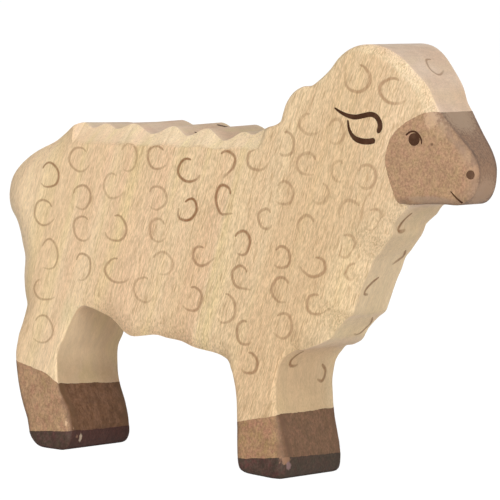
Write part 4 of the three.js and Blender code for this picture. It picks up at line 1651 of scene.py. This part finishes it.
HIND_SOCK_GLAZE = Glaze(
    name="hind_sock_glaze",
    grain=GRAIN,
    thin=rgb(180, 146, 112),
    thick=rgb(164, 129, 97),
    rusty=rgb(172, 128, 101),
    olive=rgb(168, 138, 98),
    narrow_face_shade=rgb(100, 70, 46),
    worn=rgb(118, 88, 64),
    rim_dark=rgb(104, 76, 50),
    edge_shade_share=0.7,
    turn=(0.04, 0.65),
    coat_spots=(
        CoatSpot((-40.0, -11.9, 6.3), 0.38, rgb(216, 182, 146), 0.8, 2.2),
        CoatSpot((-41.9, -11.9, 5.2), 0.5, rgb(206, 172, 138), 0.4),
        CoatSpot((-39.2, -10.4, 5.0), 0.5, rgb(196, 164, 134), 0.7),
    ),
)
FORE_SOCK_GLAZE = Glaze(
    name="fore_sock_glaze",
    grain=GRAIN,
    thin=rgb(171, 137, 101),
    thick=rgb(155, 120, 87),
    rusty=rgb(170, 122, 98),
    olive=rgb(166, 136, 92),
    narrow_face_shade=rgb(115, 88, 65),
    worn=rgb(120, 90, 66),
    rim_dark=rgb(116, 86, 66),
    edge_shade_share=0.7,
    turn=(0.04, 0.65),
)
HIND_HOOF_GLAZE = Glaze(
    name="hind_hoof_glaze",
    grain=GRAIN,
    thin=rgb(90, 71, 61),
    thick=rgb(74, 56, 48),
    rusty=rgb(92, 60, 55),
    olive=rgb(72, 62, 48),
    narrow_face_shade=rgb(78, 51, 45),
    worn=rgb(90, 68, 58),
    rim_dark=rgb(72, 48, 42),
    edge_shade_share=0.25,
    gloss=0.2,
    coat_spots=(
        CoatSpot((-38.8, -7.8, 2.8), 0.6, rgb(186, 166, 144), 1.0, 1.9),
        CoatSpot((-38.9, -9.3, 3.2), 0.5, rgb(132, 100, 82)),
    ),
)
FORE_HOOF_GLAZE = Glaze(
    name="fore_hoof_glaze",
    grain=GRAIN,
    thin=rgb(88, 70, 60),
    thick=rgb(72, 56, 48),
    rusty=rgb(96, 58, 54),
    olive=rgb(70, 62, 50),
    narrow_face_shade=rgb(77, 66, 55),
    worn=rgb(90, 72, 62),
    rim_dark=rgb(72, 60, 50),
    edge_shade_share=0.25,
    gloss=0.2,
    coat_spots=(
        CoatSpot((18.7, -10.4, 4.7), 1.6, rgb(150, 115, 90)),
        CoatSpot((19.2, -9.7, 3.1), 1.0, rgb(140, 113, 110)),
    ),
)


@dataclass
class PaintedLeg:
    """The coats on one leg, in millimetres: a sock, and a hoof that laps over its lower end."""

    name: str
    x: float
    sock_tops: list[Cut]
    hoof_top: Cut
    sock: Glaze
    hoof: Glaze
    reach_back: float = 14.0
    reach_front: float = 12.0
    lap: float = 0.8
    bare_sole: float = 0.08
    sock_thickness: float = 0.04
    sock_wobble: float = 0.35
    hoof_thickness: float = 0.07
    hoof_wobble: float = 0.3

    def build(self, wood: bpy.types.Object) -> None:
        """Paints the sock and then the hoof.

        Args:
            wood: The finished wood.
        """
        behind = Cut((self.x - self.reach_back, 0, 0), (-1, 0, 0))
        before = Cut((self.x + self.reach_front, 0, 0), (1, 0, 0))
        x, y, z = self.hoof_top.place
        out_x, out_y, _ = self.hoof_top.out
        under_hoof = Cut((x, y, z - self.lap), (-out_x, -out_y, -1.0))
        sole = Cut((0, 0, self.bare_sole), (0, 0, -1))
        sock_cuts = [behind, before, *self.sock_tops, under_hoof]
        hoof_cuts = [behind, before, self.hoof_top, sole]
        coats = (
            ("sock", sock_cuts, self.sock, self.sock_thickness, self.sock_wobble),
            ("hoof", hoof_cuts, self.hoof, self.hoof_thickness, self.hoof_wobble),
        )
        for coat, *makings in coats:
            name = f"{self.name}_{coat}"
            PaintCoat(f"{name}_paint", f"{name}_coat", f"{coat}_paint", *makings).build(wood)


@dataclass
class PaintedCoats:
    """All the coats of paint on the wood."""

    pattern: SawingPattern
    face_thickness: float = 0.05
    face_wobble: float = 0.2

    def face(self, wood: bpy.types.Object) -> bpy.types.Object:
        """Paints the face from the cheek to the nose.

        Args:
            wood: The finished wood.

        Returns:
            The coat on the face.
        """
        x, z = self.pattern.head_x, self.pattern.head_z
        cheek = [
            (x + 9.6, z - 36.5), (x + 8.3, z - 33.9), (x + 7.2, z - 31.2), (x + 5.8, z - 27.3),
            (x + 5.3, z - 24.1), (x + 5.9, z - 20.5), (x + 7.9, z - 17.5), (x + 10.9, z - 15.2),
            (x + 13.3, z - 13.9), (x + 18, z - 13.6),
        ]
        cuts = [*cuts_along(cheek), Cut((x + 7.1, 0.0, z - 33.9), (0.0, 0.0, -1.0))]
        makings = (cuts, FACE_GLAZE, self.face_thickness, self.face_wobble)
        return PaintCoat("face_paint", "face_coat", "face_paint", *makings).build(wood)

    def legs(self, wood: bpy.types.Object) -> None:
        """Paints the socks and hooves of both legs.

        Args:
            wood: The finished wood.
        """
        hind, fore = self.pattern.hind_leg_x, self.pattern.fore_leg_x
        hind_tops = [
            cut_over(hind - 3.2, 17.6, -0.25, 0.04),
            cut_over(hind - 0.5, 16.8, -0.36, 0.04),
            cut_over(hind + 1.8, 15.4, -0.65, 0.04),
        ]
        fore_tops = [cut_over(fore - 0.5, 13.2, 0.26, 0.0)]
        hind_hoof = cut_over(hind + 2.4, 4.15, 0.1, 0.018)
        fore_hoof = cut_over(fore, 4.3, 0.12, 0.03)
        PaintedLeg("hind", hind, hind_tops, hind_hoof, HIND_SOCK_GLAZE, HIND_HOOF_GLAZE).build(wood)
        PaintedLeg("fore", fore, fore_tops, fore_hoof, FORE_SOCK_GLAZE, FORE_HOOF_GLAZE).build(wood)


@dataclass
class PaintedLines:
    """All the brush lines: ears, eyes, nostrils, mouth and the wool curls."""

    wood_finish: BareWood
    flank_y: float = -12.0
    mark_stretches: int = 40
    curl_margin: float = 1.9

    def build(self, wood: bpy.types.Object, face: bpy.types.Object) -> None:
        """Paints the lines on both sides and on the front.

        Args:
            wood: The finished wood.
            face: The coat on the face.
        """
        grain = self.wood_finish.grain
        dark = DarkLine("dark_line", grain, rgb(68, 41, 24), rgb(84, 56, 38))
        faint = DarkLine("faint_line", grain, rgb(92, 65, 47), rgb(104, 76, 56))
        soft = CurlLine("curl_line", self.wood_finish, rgb(134, 88, 48))
        curls = [curl.stroke(self.flank_y) for curl in CURLS]
        marks = {
            "upper_ear": (wood, [UPPER_EAR], dark),
            "lower_ear": (wood, [LOWER_EAR], dark),
            "eye": (face, [EYE_IRIS, EYE_LASH], dark),
            "nostril": (face, [NOSTRIL], faint),
            "mouth": (face, [MOUTH], dark),
        }
        for flank in Flank:
            side = flank.name.lower()
            for mark, (ground, strokes, line) in marks.items():
                name = f"{side}_{mark}"
                work = BrushWork(name, strokes, line, (f"{name}_mark",), self.mark_stretches)
                work.build(ground, flank)
            BrushWork(f"{side}_wool_curls", curls, soft, margin=self.curl_margin).build(wood, flank)
        BrushWork("back_cracks", BACK_DARK_MARKS, dark).build(wood)
        BrushWork("front_wool_curls", FRONT_STROKES, soft, margin=self.curl_margin).build(wood)


def main() -> None:
    """Builds the figure's pieces in order and reports them."""
    logging.basicConfig(level=logging.INFO, format="%(name)s: %(message)s")
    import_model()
    Studio().build()
    pattern = SawingPattern()
    finish = BareWood(GRAIN)
    wood = SawnBoard(pattern, finish).build()
    coats = PaintedCoats(pattern)
    face = coats.face(wood)
    coats.legs(wood)
    PaintedLines(finish).build(wood, face)


if __name__ == "__main__":
    main()
